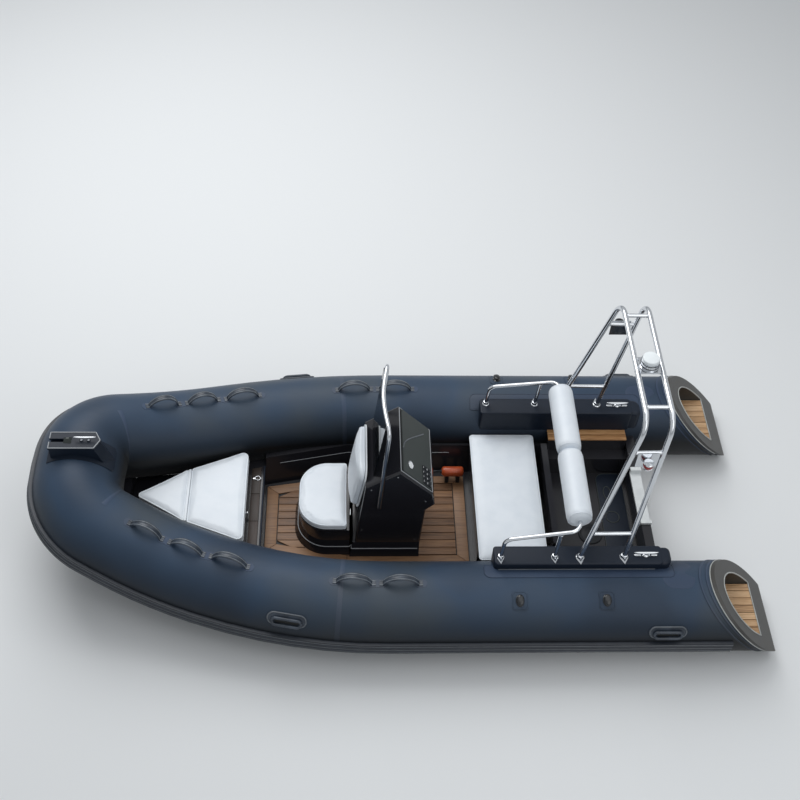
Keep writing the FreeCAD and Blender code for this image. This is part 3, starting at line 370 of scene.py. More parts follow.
@dataclass(frozen=True)
class OiledTeak(Finish):
    """Sawn, sanded and oiled teak: straight brown grain with darker growth rings."""

    title: str = "oiled_teak"
    pale: str = "#8f6b4b"
    mid: str = "#7a593e"
    dark: str = "#5c422e"
    along: tuple[float, float, float] = (26.0, 1.0, 1.0)
    grain: float = 3.2 * MM
    pore: float = 0.8 * MM
    plank_tone: float = 0.11

    def recipe(self) -> Recipe:
        """Streaks along the planks and fine open pores.

        Returns:
            The recipe.
        """
        tones = [(0.34, linear(self.dark)), (0.5, linear(self.mid)), (0.66, linear(self.pale))]
        streaks = Pattern(self.grain, 4.0, self.along)
        broad = Pattern(4.0 * self.grain, 2.0, self.along)
        pores = Pattern(self.pore, 1.0, self.along)
        gloss = (0.42, 0.62)
        return Recipe(tones, gloss, streaks, streaks, pores, 0.15 * MM, 0.6, {"IOR": 1.53}, broad)

    def origin(self, tree: Tree, place: Socket) -> Socket:
        """Starts each plank's grain somewhere else.

        Args:
            tree: The node tree.
            place: Object coordinates.

        Returns:
            The coordinates, moved by the plank's own tone.
        """
        tone = add_node(tree, "ShaderNodeAttribute", attribute_name="plank").outputs["Fac"]
        inputs = {"X": tone, "Y": tone, "Z": tone}
        offset = add_node(tree, "ShaderNodeCombineXYZ", inputs).outputs["Vector"]
        shift = add_node(tree, "ShaderNodeVectorMath", {0: place, 1: offset}, operation="ADD")
        return shift.outputs["Vector"]

    def shade(self, tree: Tree, wear: Socket, broad: Socket | None) -> Socket:
        """Mixes fine and broad streaks, and gives each plank its own tone.

        Args:
            tree: The node tree.
            wear: The fine streaks.
            broad: The broad streaks.

        Returns:
            What the tones are looked up with.
        """
        both = add_node(tree, "ShaderNodeMix", {0: 0.45, 2: wear, 3: broad}, data_type="FLOAT")
        tone = add_node(tree, "ShaderNodeAttribute", attribute_name="plank").outputs["Fac"]
        inputs = {"Value": tone, "To Min": -self.plank_tone, "To Max": self.plank_tone}
        own = add_node(tree, "ShaderNodeMapRange", inputs).outputs["Result"]
        inputs = {0: both.outputs[0], 1: own}
        return add_node(tree, "ShaderNodeMath", inputs, operation="ADD").outputs["Value"]


@dataclass(frozen=True)
class MarineVinyl(Finish):
    """Embossed PVC upholstery on foam: an off-white skin with a pebbled leather grain."""

    title: str = "white_marine_vinyl"
    colour: str = "#e4ebf2"
    crease: str = "#dde5ed"
    pebble: float = 2.2 * MM

    def recipe(self) -> Recipe:
        """A pale satin with a pebble grain, drawn twice as coarse as the real one.

        Returns:
            The recipe.
        """
        tones = [(0.3, linear(self.crease)), (0.6, linear(self.colour))]
        soft, pebbles = Pattern(0.12, 4.0), Pattern(self.pebble, texture=Texture.CELLS)
        sockets = {"IOR": 1.53, "Sheen Weight": 0.08}
        return Recipe(tones, (0.36, 0.5), soft, soft, pebbles, 0.12 * MM, 0.45, sockets)


@dataclass(frozen=True)
class Stainless(Finish):
    """Marine stainless steel tube and castings, mechanically polished: bright, faint haze."""

    title: str = "polished_stainless_steel"
    colour: str = "#d3d6da"
    roughness: float = 0.12

    def recipe(self) -> Recipe:
        """A bright metal with polishing haze along the bar.

        Returns:
            The recipe.
        """
        haze = Pattern(0.03, 5.0, (1.0, 1.0, 3.0))
        gloss = (self.roughness * 0.6, self.roughness * 1.7)
        return Recipe([(0.0, linear(self.colour))], gloss, haze, haze, sockets={"Metallic": 1.0})


@dataclass(frozen=True)
class SmokedAcrylic(Finish):
    """Cast acrylic sheet, smoke tinted and flame-polished."""

    title: str = "smoked_acrylic"
    colour: str = "#2e353d"

    def recipe(self) -> Recipe:
        """A clear dark sheet with faint wiping marks. Salt on both faces dulls its mirror.

        Returns:
            The recipe.
        """
        wiped = Pattern(0.04, 5.0)
        sockets = {"Transmission Weight": 0.85, "IOR": 1.49, "Specular IOR Level": 0.25}
        return Recipe([(0.0, linear(self.colour))], (0.02, 0.07), wiped, wiped, sockets=sockets)


@dataclass(frozen=True)
class ClearLens(Finish):
    """Moulded polycarbonate of a lamp's lens."""

    title: str = "clear_polycarbonate"
    colour: str = "#eef2f4"
    clear: float = 0.55

    def recipe(self) -> Recipe:
        """A milky clear moulding with the flutes' faint waves.

        Returns:
            The recipe.
        """
        waves = Pattern(0.01, 2.0)
        sockets = {"Transmission Weight": self.clear, "IOR": 1.58}
        return Recipe([(0.0, linear(self.colour))], (0.08, 0.2), waves, waves, sockets=sockets)


@dataclass(frozen=True)
class EnamelPaint(Finish):
    """Sprayed enamel on a drawn steel bottle: an orange gloss, dulled at its scratches."""

    title: str = "orange_enamel"
    colour: str = "#b5502a"
    faded: str = "#a04426"
    scratch: float = 1.5 * MM

    def recipe(self) -> Recipe:
        """A gloss paint with slow fading and fine scratches.

        Returns:
            The recipe.
        """
        tones = [(0.4, linear(self.colour)), (0.7, linear(self.faded))]
        fade, fine = Pattern(0.05, 4.0), Pattern(self.scratch, 2.0)
        return Recipe(tones, (0.2, 0.36), fade, fade, fine, 0.03 * MM, 0.4, {"IOR": 1.5})


# The fifth colour of each coated fabric is the painted shade of its downward-facing skin.
TUBE_FABRIC = CoatedFabric()
# The seam tape is a lighter copy of the tube fabric; its lightness is partly a painted highlight on the
# raised bands.
TAPE_FABRIC = CoatedFabric("seam_tape_and_painted_highlight", "#3a4a61", "#4a515b", "#33425a", "#131922")
FLANGE_FABRIC = CoatedFabric("glued_flange_fabric", "#37465c", "#464d57", "#313f55", "#11161e")
GLOSS_RUBBER = MouldedRubber("polished_black_rubber", "#14171b", "#1d2126", 0.24)
# Pale cords along the grab straps' edges: a painted highlight.
STRAP_HIGHLIGHT_RUBBER = MouldedRubber("strap_edge_painted_highlight", "#7d858c", "#9aa0a4", 0.34)
STRAP_RUBBER = MouldedRubber("ribbed_strap_rubber", "#2a323d", "#414b58", 0.36)
END_RUBBER = MouldedRubber("moulded_end_rubber", "#353432", "#413f3b", 0.4)
# The tube ends' pale lips: a painted highlight of their edges.
LIP_RUBBER = MouldedRubber("lip_painted_highlight_rubber", "#a3a6a4", "#bcbfbc", 0.3)
STRAKE_RUBBER = MouldedRubber("extruded_strake_rubber", "#242a33", "#2c323b", 0.42)
# Pale cords on the strake's ribs, the carry rims, the side boxes' feet and the dash's crease: a painted
# highlight.
CREST_HIGHLIGHT_RUBBER = MouldedRubber("crest_painted_highlight_rubber", "#5a6067", "#6b7076", 0.35)
# Real caulk between planks, also used as painted shade under the carry grips.
CAULK_AND_SHADE = MouldedRubber("caulk_and_painted_shade", "#0d0e10", "#191b1d", 0.6, 2.0 * MM)
BLACK_GELCOAT = Gelcoat()
WHITE_GELCOAT = Gelcoat("white_gelcoat", "#dfe3e4", "#cfd4d6", 0.2)
BLACK_ABS = SatinPlastic()
SIDE_ABS = SatinPlastic("blue_black_abs", "#131c29", 0.42)
DASH_ABS = SatinPlastic("olive_grey_abs", "#3a3f3e", 0.36)
# Pale beads along edges of the bow block, the helm and the liner: a painted highlight.
HIGHLIGHT_BEAD = SatinPlastic("pale_bead_painted_highlight", "#9a9ea2", 0.3)
WHITE_PVC = SatinPlastic("white_pvc_legend", "#d9dcde", 0.4)
SHELL_ABS = SatinPlastic("white_abs", "#d5dade", 0.35)
TEAK = OiledTeak()
# A paler copy of the oiled teak for the shelves.
SHELF_TEAK = OiledTeak("paler_shelf_teak", "#c4986a", "#aa7c4e", "#865c3a")
# Teak painted lighter against the shade inside the tubes' ends.
END_TEAK = OiledTeak("end_teak_painted_light", "#d6b48e", "#bf9a72", "#9d7a58")
# Teak painted dark as shade.
TREAD_TEAK = OiledTeak("teak_tread_painted_shade", "#35261f", "#2c1f18", "#21170f", (1.0, 26.0, 1.0))
VINYL = MarineVinyl()
STEEL = Stainless()
SMOKED = SmokedAcrylic()
OPAL_LENS = SatinPlastic("opal_acrylic_lens", "#dfe5e9", 0.2)
RED_LENS = ClearLens("red_polycarbonate", "#b01c1c", 0.5)
GREEN_LENS = ClearLens("green_polycarbonate", "#12703f", 0.5)
ORANGE_ENAMEL = EnamelPaint()
PIPING = MarineVinyl("white_vinyl_piping", "#e6edf3", "#dfe6ee", 1.6 * MM)


# Mesh building


def finished(
    name: str,
    bm: BMesh,
    finish: Finish,
    slot: str,
    sharp: float = 38.0,
    *replaced: str,
    body: Body = Body.BOAT,
) -> bpy.types.Object:
    """Makes a piece of the boat: smooth but for its sharp edges, with finish and body.

    Args:
        name: The piece's name.
        bm: Its faces, freed afterwards.
        finish: The finish that covers it.
        slot: Not used.
        sharp: Edges that bend more than this many degrees stay sharp.
        *replaced: CAD nodes that it stands for.
        body: The CAD body it rides on.

    Returns:
        The piece.
    """
    bmesh.ops.recalc_face_normals(bm, faces=bm.faces)
    for face in bm.faces:
        face.smooth = True
    for edge in bm.edges:
        if len(edge.link_faces) == 2:
            edge.smooth = edge.calc_face_angle(0.0) < math.radians(sharp)
    mesh = bpy.data.meshes.new(name)
    bm.to_mesh(mesh)
    bm.free()
    piece = bpy.data.objects.new(name, mesh)
    bpy.context.scene.collection.objects.link(piece)
    mesh.materials.append(finish.material())
    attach(piece, body.value)
    if replaced:
        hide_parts(*replaced)
    LOG.info("%s: %d faces", name, len(mesh.polygons))
    return piece


def add_skin(
    bm: BMesh, rings: Sequence[Ring], caps: bool = True, joined: bool = False
) -> list[bmesh.types.BMFace]:
    """Adds a skin through closed rings of points.

    Args:
        bm: The bmesh to add to.
        rings: Rings with equally many points.
        caps: Whether the first and last ring are filled.
        joined: Whether the last ring joins the first.

    Returns:
        The new faces.
    """
    rows = [[bm.verts.new(p) for p in ring] for ring in rings]
    faces = []
    count = len(rows[0])
    for a, b in list(zip(rows, rows[1:])) + ([(rows[-1], rows[0])] if joined else []):
        for i in range(count):
            j = (i + 1) % count
            faces.append(bm.faces.new((a[i], a[j], b[j], b[i])))
    if caps and not joined:
        faces.append(bm.faces.new(list(reversed(rows[0]))))
        faces.append(bm.faces.new(rows[-1]))
    return faces


@dataclass
class Station:
    """A place on a route: its point and the three directions carried along it."""

    point: Vector
    ahead: Vector
    out: Vector

    @property
    def up(self) -> Vector:
        """The direction square to ahead and out."""
        return self.ahead.cross(self.out)

    def around(self, radius: float, angle: float) -> Vector:
        """A point at a radius and an angle from out towards up."""
        return self.point + radius * (math.cos(angle) * self.out + math.sin(angle) * self.up)


def rounded(points: Sequence[Vector], radii: Sequence[float], step: float) -> Ring:
    """A line through points with a true arc at each inner point.

    Args:
        points: The line's corners.
        radii: A bend radius for each inner corner.
        step: Degrees of turn from one point of an arc to the next.

    Returns:
        Points along the line.
    """
    line = [points[0]]
    for before, at, after, radius in zip(points, points[1:], points[2:], radii):
        come, leave = (at - before).normalized(), (after - at).normalized()
        turn = come.angle(leave)
        axis = come.cross(leave).normalized()
        first = at - come * (radius * math.tan(turn / 2.0))
        spoke = come.cross(axis) * radius
        centre = first - spoke
        count = max(1, math.ceil(math.degrees(turn) / step))
        for i in range(count + 1):
            line.append(centre + Quaternion(axis, turn * i / count) @ spoke)
    line.append(points[-1])
    return line


def divided(line: Ring, longest: float) -> Ring:
    """The same line with extra points.

    Args:
        line: The line.
        longest: No run may be longer than this.

    Returns:
        The points, old and new.
    """
    result = [line[0]]
    for a, b in zip(line, line[1:]):
        run = (b - a).length
        count = max(1, math.ceil(run / longest))
        result += [a.lerp(b, (i + 1) / count) for i in range(count) if run > 1e-7]
    return result


def carried(line: Ring, first_out: Vector) -> list[Station]:
    """Stations along a line, with an outward direction turned only as the line turns.

    Args:
        line: The line's points.
        first_out: Roughly the outward direction at its start.

    Returns:
        A station for each point.
    """
    runs = [(b - a).normalized() for a, b in zip(line, line[1:])]
    aheads = [runs[0]] + [(a + b).normalized() for a, b in zip(runs, runs[1:])] + [runs[-1]]
    out = (first_out - aheads[0] * first_out.dot(aheads[0])).normalized()
    stations = [Station(line[0], aheads[0], out)]
    for before, point, ahead in zip(aheads, line[1:], aheads[1:]):
        out = before.rotation_difference(ahead) @ out
        stations.append(Station(point, ahead, out))
    return stations


def add_cord(bm: BMesh, line: Ring, radius: float, sides: int = 10) -> None:
    """Adds a round bar, cord or bead along an open line.

    Args:
        bm: The bmesh to add to.
        line: Its centre line.
        radius: Its radius.
        sides: Divisions round it.
    """
    first = UP if abs((line[1] - line[0]).normalized().z) < 0.9 else PORT
    turns = [2.0 * math.pi * i / sides for i in range(sides)]
    add_skin(bm, [[s.around(radius, turn) for turn in turns] for s in carried(line, first)])


def add_loop(bm: BMesh, line: Ring, radius: float, sides: int) -> None:
    """Adds a round cord or bead along a closed line.

    Args:
        bm: The bmesh to add to.
        line: Its centre line, without a repeated point.
        radius: Its radius.
        sides: Divisions round it.
    """
    rings = []
    for i, point in enumerate(line):
        ahead = (line[(i + 1) % len(line)] - line[i - 1]).normalized()
        side = ahead.cross(UP if abs(ahead.z) < 0.8 else FORWARD).normalized()
        top = side.cross(ahead)
        rings.append([point + u * side + v * top for u, v in circle(radius, sides)])
    add_skin(bm, rings, joined=True)


def lathe(bm: BMesh, profile: Plan, origin: Vector, axis: Vector, sides: int = 40) -> None:
    """Adds a turned form.

    Args:
        bm: The bmesh to add to.
        profile: Radius and height of each ring, from one end to the other.
        origin: The foot of its axis.
        axis: The direction of its height.
        sides: Divisions round it.
    """
    turn = UP.rotation_difference(axis.normalized())
    rings = []
    for radius, height in profile:
        ring = circle(max(radius, 1e-5), sides)
        rings.append([origin + turn @ Vector((u, v, height)) for u, v in ring])
    add_skin(bm, rings)


def add_block(
    bm: BMesh,
    low: Sequence[float],
    high: Sequence[float],
    bevel: float = 0.0,
    place: Matrix | None = None,
    segments: int = 3,
) -> None:
    """Adds a block with rounded edges.

    Args:
        bm: The bmesh to add to.
        low: Its lowest corner.
        high: Its highest corner.
        bevel: Radius of its edges.
        place: Where to put it, or None.
        segments: Divisions of the rounding.
    """
    own = bmesh.new()
    bmesh.ops.create_cube(own, size=1.0)
    size = Vector(high) - Vector(low)
    middle = (Vector(high) + Vector(low)) / 2.0
    for vert in own.verts:
        vert.co = Vector(c * s for c, s in zip(vert.co, size)) + middle
    if bevel > 0.0:
        shape = {"offset": bevel, "segments": segments, "profile": 0.5, "affect": "EDGES"}
        bmesh.ops.bevel(own, geom=own.edges[:], **shape)
    if place is not None:
        bmesh.ops.transform(own, matrix=place, verts=own.verts)
    merge(bm, own)


def merge(bm: BMesh, other: BMesh) -> None:
    """Adds another bmesh's faces to this one.

    Args:
        bm: The bmesh to add to.
        other: What is added, freed afterwards.
    """
    copies = {v: bm.verts.new(v.co) for v in other.verts}
    for face in other.faces:
        bm.faces.new([copies[v] for v in face.verts])
    other.free()


def mirror_port(*meshes: BMesh) -> None:
    """Adds the mirror image of everything so far on the starboard side.

    Args:
        *meshes: The bmeshes to add to.
    """
    for bm in meshes:
        faces = bm.faces[:]
        copies = {v: bm.verts.new((v.co.x, -v.co.y, v.co.z)) for v in bm.verts[:]}
        for face in faces:
            bm.faces.new([copies[v] for v in reversed(face.verts)])


def circle(radius: float, sides: int, stretch: float = 1.0) -> list[tuple[float, float]]:
    """An outline of a circle, or of an ellipse whose second axis is stretched."""
    turns = [2.0 * math.pi * i / sides for i in range(sides)]
    return [(radius * math.cos(a), stretch * radius * math.sin(a)) for a in turns]


def oblong(x0: float, x1: float, y0: float, y1: float) -> list[tuple[float, float]]:
    """A counterclockwise outline with four corners."""
    return [(x0, y0), (x1, y0), (x1, y1), (x0, y1)]


def round_plan(corners: Plan, radii: Sequence[float], step: float = 12.0) -> list[tuple[float, float]]:
    """A closed outline with an arc at each corner.

    Args:
        corners: The outline's corners in order.
        radii: The radius at each corner, zero for a sharp one.
        step: Degrees between the points of an arc.

    Returns:
        The outline's points.
    """
    points = flat(corners)
    result = []
    for i, radius in enumerate(radii):
        arc = [points[i]]
        if radius > 0.0:
            arc = rounded([points[i - 1], points[i], points[(i + 1) % len(points)]], [radius], step)[1:-1]
        result += [(p.x, p.y) for p in arc]
    return result


def inwards(outline: Sequence[Vector], amount: float) -> Ring:
    """Draws in a closed outline.

    Args:
        outline: Its counterclockwise plan.
        amount: How far each side moves in.

    Returns:
        The drawn-in outline.
    """
    ring = []
    for i, p in enumerate(outline):
        a = (p - outline[i - 1]).normalized()
        b = (outline[(i + 1) % len(outline)] - p).normalized()
        na, nb = Vector((-a.y, a.x, 0.0)), Vector((-b.y, b.x, 0.0))
        bisector = (na + nb).normalized()
        ring.append(p + bisector * (amount / max(0.35, bisector.dot(na))))
    return ring


def flat(points: Plan, z: float = 0.0) -> Ring:
    """Points of a plan as vectors at one height."""
    return [Vector((x, y, z)) for x, y in points]


def raised(ring: Ring, z: float) -> Ring:
    """The same ring at another height."""
    return [Vector((p.x, p.y, z)) for p in ring]


def stadium(length: float, width: float, sides: int = 40) -> list[tuple[float, float]]:
    """An outline with two straight sides and two round ends, or an ellipse if it is short.

    Args:
        length: Its length over all.
        width: Its width.
        sides: How many points it has.

    Returns:
        The outline's points.
    """
    r = min(width, length) / 2.0
    reach = length / 2.0 - r
    points = []
    for i in range(sides):
        angle = 2.0 * math.pi * (i + 0.5) / sides
        side = 1.0 if math.cos(angle) > 0.0 else -1.0
        points.append((side * reach + r * math.cos(angle), width / 2.0 * math.sin(angle)))
    return points


def add_slab(
    bm: BMesh, outline: Ring, z0: float, z1: float, bevel: float, steps: int = 3
) -> list[bmesh.types.BMFace]:
    """Adds an upright slab whose upper edge is rounded.

    Args:
        bm: The bmesh to add to.
        outline: Its counterclockwise plan.
        z0: Height of its underside.
        z1: Height of its top.
        bevel: Radius of its upper edge.
        steps: Divisions of the rounding.

    Returns:
        Its faces.
    """
    rings = [raised(outline, z0)]
    for k in range(steps + 1):
        angle = math.pi / 2.0 * k / steps
        draw = bevel * (1.0 - math.cos(angle))
        rings.append(raised(inwards(outline, draw), z1 - bevel + bevel * math.sin(angle)))
    return add_skin(bm, rings)


def dress(node: str, finish: Finish, bevel: float = 0.0) -> None:
    """Gives a CAD node its finish, and its edges a small rounding.

    Args:
        node: The CAD node's name.
        finish: Its finish.
        bevel: Radius of the rounding, zero for none.
    """
    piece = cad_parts[node]
    if not piece.material_slots:
        piece.data.materials.append(finish.material())
    for place in piece.material_slots:
        place.material = finish.material()
    if bevel > 0.0:
        rounding = piece.modifiers.new("edge_rounding", "BEVEL")
        rounding.width = bevel
        rounding.segments = 2
        rounding.limit_method = "ANGLE"
        rounding.angle_limit = math.radians(40.0)
        rounding.harden_normals = False


# Studio and camera


@dataclass
class Studio:
    """A pale floor at the waterline, soft lamps and the camera at the photograph's angle."""

    eye: tuple[float, float, float] = (0.285, 4.287, 6.445)
    pitch: float = 50.0
    yaw: float = -3.97
    roll: float = 3.234
    lens: float = 50.815
    floor_half: float = 60.0
    floor_colour: str = "#e6e9eb"
    floor_roughness: float = 0.9
    sky_colour: str = "#eef1f4"
    sky_light: float = 0.36
    sky_gloss: float = 0.45

    def build(self) -> None:
        """Makes the floor, the world, the lamps and the camera."""
        self.make_floor()
        self.make_world()
        lamps = (
            ("key_lamp", (2.4, -4.6, 7.0), 6.0, 400.0),
            ("top_lamp", (-1.5, 0.5, 7.5), 7.0, 130.0),
            ("fill_lamp", (-4.5, 5.5, 5.0), 5.0, 90.0),
        )
        for name, place, size, power in lamps:
            self.make_lamp(name, Vector(place), size, power)
        self.make_camera()

    def make_floor(self) -> None:
        """A plain matt floor."""
        half = self.floor_half
        bm = bmesh.new()
        bm.faces.new([bm.verts.new(c) for c in flat(oblong(-half, half, -half, half))])
        mesh = bpy.data.meshes.new("floor")
        bm.to_mesh(mesh)
        bm.free()
        floor = bpy.data.objects.new("floor", mesh)
        bpy.context.scene.collection.objects.link(floor)
        paint = bpy.data.materials.new("matt_floor")
        paint.use_nodes = True
        inputs = {"Base Color": linear(self.floor_colour), "Roughness": self.floor_roughness}
        connect(paint.node_tree, paint.node_tree.nodes["Principled BSDF"], inputs)
        mesh.materials.append(paint)

    def make_world(self) -> None:
        """A plain light, and a pale sky for what the camera, gloss and glass see."""
        world = bpy.data.worlds.new("pale_sky")
        bpy.context.scene.world = world
        world.use_nodes = True
        tree = world.node_tree
        tree.nodes.clear()
        rays = add_node(tree, "ShaderNodeLightPath").outputs
        inputs = {0: rays["Is Camera Ray"], 1: rays["Is Transmission Ray"]}
        seen = add_node(tree, "ShaderNodeMath", inputs, operation="MAXIMUM").outputs[0]
        inputs = {0: rays["Is Glossy Ray"], 1: self.sky_gloss}
        glossy = add_node(tree, "ShaderNodeMath", inputs, operation="MULTIPLY").outputs[0]
        shown = add_node(tree, "ShaderNodeMath", {0: seen, 1: glossy}, operation="MAXIMUM").outputs[0]
        inputs = {"Value": shown, "To Min": self.sky_light, "To Max": 1.0}
        strength = add_node(tree, "ShaderNodeMapRange", inputs).outputs["Result"]
        inputs = {"Color": linear(self.sky_colour), "Strength": strength}
        back = add_node(tree, "ShaderNodeBackground", inputs)
        add_node(tree, "ShaderNodeOutputWorld", {"Surface": back.outputs[0]})

    def make_lamp(self, name: str, place: Vector, size: float, power: float) -> None:
        """One soft square lamp that points at the boat.

        Args:
            name: The lamp's name.
            place: Where it hangs.
            size: Its side.
            power: Its power in watts.
        """
        data = bpy.data.lights.new(name, "AREA")
        data.size = size
        data.energy = power
        lamp = bpy.data.objects.new(name, data)
        lamp.location = place
        lamp.rotation_euler = (-place).to_track_quat("-Z", "Y").to_euler()
        bpy.context.scene.collection.objects.link(lamp)

    def make_camera(self) -> None:
        """The camera, from its solved place, pitch, yaw and roll."""
        pitch, yaw, roll = (math.radians(a) for a in (self.pitch, self.yaw, self.roll))
        level = math.cos(pitch)
        look = Vector((math.sin(yaw) * level, -math.cos(yaw) * level, -math.sin(pitch)))
        level_right = look.cross(UP).normalized()
        level_top = level_right.cross(look)
        right = math.cos(roll) * level_right + math.sin(roll) * level_top
        top = math.cos(roll) * level_top - math.sin(roll) * level_right
        data = bpy.data.cameras.new("camera")
        data.lens = self.lens
        data.clip_end = 200.0
        camera = bpy.data.objects.new("camera", data)
        turn = Matrix((right, top, -look)).transposed().to_4x4()
        camera.matrix_world = Matrix.Translation(Vector(self.eye)) @ turn
        bpy.context.scene.collection.objects.link(camera)
        bpy.context.scene.camera = camera
        bpy.context.scene.view_settings.view_transform = "Standard"


# Inflated collar and what is glued to it


@dataclass
class Collar:
    """The inflated tube round the boat, with its seam tapes and rub strake."""

    radius: float = 0.28
    half: float = 0.77
    axis_z: float = 0.24
    stern_x: float = -2.392
    edge_z: float = 0.085
    top_x: float = -1.955
    cap: float = 0.022
    sheared_to: float = -1.7
    sides: int = 96
    strake_half: float = 0.048
    strake_thick: float = 0.012
    strake_rib: float = 0.0081
    strake_end_x: float = -2.065
    tape_thick: float = 0.0007

    def __post_init__(self) -> None:
        """Works out the route and the lengths along it."""
        half = [
            (self.stern_x, self.half, self.axis_z),
            (0.6, self.half, self.axis_z),
            (1.448, self.half - 0.25, 0.346),
            (1.989, self.half - 0.466, 0.562),
        ]
        points = half + [(1.995, 0.0, 0.577)] + [(x, -y, z) for x, y, z in reversed(half)]
        radii = [3.6, 2.4, 0.29, 0.42, 0.29, 2.4, 3.6]
        line = divided(rounded([Vector(p) for p in points], radii, 3.0), 0.08)
        self.stations = carried(line, PORT)
        lengths = [(b - a).length for a, b in zip(line, line[1:])]
        self.marks = [0.0] + list(np.cumsum(lengths))

    @property
    def slope(self) -> float:
        """Run of the sloped end for each metre of its height."""
        return (self.top_x - self.stern_x) / (self.axis_z + self.radius - self.edge_z)

    def end_x(self, z: float, inset: float) -> float:
        """Where the tube's end lies at a height, this far inside its outer face.

        Args:
            z: The height.
            inset: How far inside the outer face.

        Returns:
            The place along X.
        """
        length = math.hypot(1.0, self.slope)
        sloped = self.stern_x + (z - self.edge_z) * self.slope + inset * length
        return max(self.stern_x + inset, sloped)

    def mark_at(self, x: float) -> float:
        """Length along the port side where the route reaches x.

        Args:
            x: A place along X.

        Returns:
            The length along the route.
        """
        for a, b, mark in zip(self.stations, self.stations[1:], self.marks):
            if b.point.x >= x:
                return mark + (x - a.point.x) / (b.point.x - a.point.x) * (b.point - a.point).length
        raise ValueError("the collar does not reach this x")

    def station(self, mark: float) -> Station:
        """The station at a length along the route.

        Args:
            mark: Length along the route.

        Returns:
            The station there.
        """
        i = int(np.searchsorted(self.marks, mark, side="right")) - 1
        i = min(max(i, 0), len(self.stations) - 2)
        a, b = self.stations[i], self.stations[i + 1]
        share = (mark - self.marks[i]) / (self.marks[i + 1] - self.marks[i])
        return Station(
            a.point.lerp(b.point, share),
            a.ahead.lerp(b.ahead, share).normalized(),
            a.out.lerp(b.out, share).normalized(),
        )

    def upward(self, mark: float) -> tuple[Vector, Vector, Vector, Vector]:
        """Point, ahead, out and a truly upward vector at a length along the route.

        Args:
            mark: Length along the route.

        Returns:
            The four vectors.
        """
        place = self.station(mark)
        up = place.up if place.up.z > 0.0 else -place.up
        return place.point, place.ahead, place.out, up

    def skin(self, mark: float, degrees: float, lift: float = 0.0) -> Vector:
        """A point on the tube, at an angle above its outward side.

        Args:
            mark: Length along the route.
            degrees: The angle.
            lift: Height above the skin.

        Returns:
            The point.
        """
        point, _, out, up = self.upward(mark)
        angle = math.radians(degrees)
        return point + (self.radius + lift) * (math.cos(angle) * out + math.sin(angle) * up)

    def spot(self, mark: float, degrees: float, offset: Sequence[float], lift: float) -> Vector:
        """A point on the tube at an offset, along and across it, from another one."""
        along, across = offset
        return self.skin(mark + along, degrees + math.degrees(across / self.radius), lift)

    def patch(
        self, bm: BMesh, mark: float, degrees: float, outline: Plan, thick: float, steps: int = 5
    ) -> None:
        """Adds a thin patch that follows the tube.

        Args:
            bm: The bmesh to add to.
            mark: Length along the route of its middle.
            degrees: Angle of its middle above the tube's outward side.
            outline: Points (along, across) in metres.
            thick: Its thickness.
            steps: Rings from its edge to its middle.
        """
        shares = [(1.0, -0.3), (1.0, 0.6), (0.985, 1.0)]
        shares += [(1.0 - (i + 1) / (steps + 1), 1.0) for i in range(steps)]
        rings = []
        for share, height in shares:
            plan = [(u * share, v * share) for u, v in outline]
            rings.append([self.spot(mark, degrees, p, thick * height) for p in plan])
        add_skin(bm, rings, caps=False)
        bm.verts.ensure_lookup_table()
        bm.faces.new(bm.verts[-len(outline) :])

    def build(self) -> None:
        """Builds the tube, the tapes and the strake."""
        self.build_tube()
        self.build_tapes()
        self.build_strake()

    def build_tube(self) -> None:
        """The tube's skin, with both ends on their sloped planes."""
        rings = []
        inset = self.cap - 0.001
        for place in self.stations:
            ring = []
            for i in range(self.sides):
                p = place.around(self.radius, 2.0 * math.pi * i / self.sides)
                if p.x < self.sheared_to:
                    share = (self.sheared_to - p.x) / (self.sheared_to - self.stern_x)
                    p.x = self.sheared_to + share * (self.end_x(p.z, inset) - self.sheared_to)
                ring.append(p)
            rings.append(ring)
        bm = bmesh.new()
        add_skin(bm, rings, caps=False)
        finished("collar_tube", bm, TUBE_FABRIC, "tube_fabric", 60.0, "collar")

    def build_tapes(self) -> None:
        """Seam tapes where the tube's panels join, across it and beside its ends."""
        bm = bmesh.new()
        self.tape_ring(bm, self.mark_at(0.34), 0.03, -42.0, 222.0)
        self.tape_ring(bm, self.mark_at(1.86), 0.03, 92.0, 222.0)
        for x in (0.03, 0.072):
            self.sloped_ring(bm, self.cap + x, 0.016, -35.0, 215.0)
        mirror_port(bm)
        finished("seam_tapes", bm, TAPE_FABRIC, "tube_fabric", 30.0)

    def tape_ring(self, bm: BMesh, mark: float, width: float, low: float, high: float) -> None:
        """A tape across the tube between two angles.

        Args:
            bm: The bmesh to add to.
            mark: Length along the route.
            width: Its width.
            low: First angle in degrees.
            high: Last angle in degrees.
        """
        section = [(-0.5, -0.3), (-0.5, 0.6), (-0.46, 1.0), (0.46, 1.0), (0.5, 0.6), (0.5, -0.3)]
        rings = []
        count = 72
        for i in range(count + 1):
            angle = low + (high - low) * i / count
            rings.append([self.skin(mark + u * width, angle, self.tape_thick * h) for u, h in section])
        add_skin(bm, rings)

    def sloped_ring(self, bm: BMesh, ahead: float, width: float, low: float, high: float) -> None:
        """A thin raised band parallel to the tube's sloped end.

        Args:
            bm: The bmesh to add to.
            ahead: How far ahead of the end's face it lies.
            width: Its width.
            low: First angle in degrees.
            high: Last angle in degrees.
        """
        section = [(-0.5, -0.3), (-0.4, 0.7), (-0.25, 1.0), (0.25, 1.0), (0.4, 0.7), (0.5, -0.3)]
        rings = []
        count = 72
        for i in range(count + 1):
            angle = math.radians(low + (high - low) * i / count)
            ring = []
            for u, h in section:
                r = self.radius + 0.005 * h
                y = self.half + r * math.cos(angle)
                z = self.axis_z + r * math.sin(angle)
                ring.append(Vector((self.end_x(z, 0.0) + ahead + u * width, y, z)))
            rings.append(ring)
        add_skin(bm, rings)

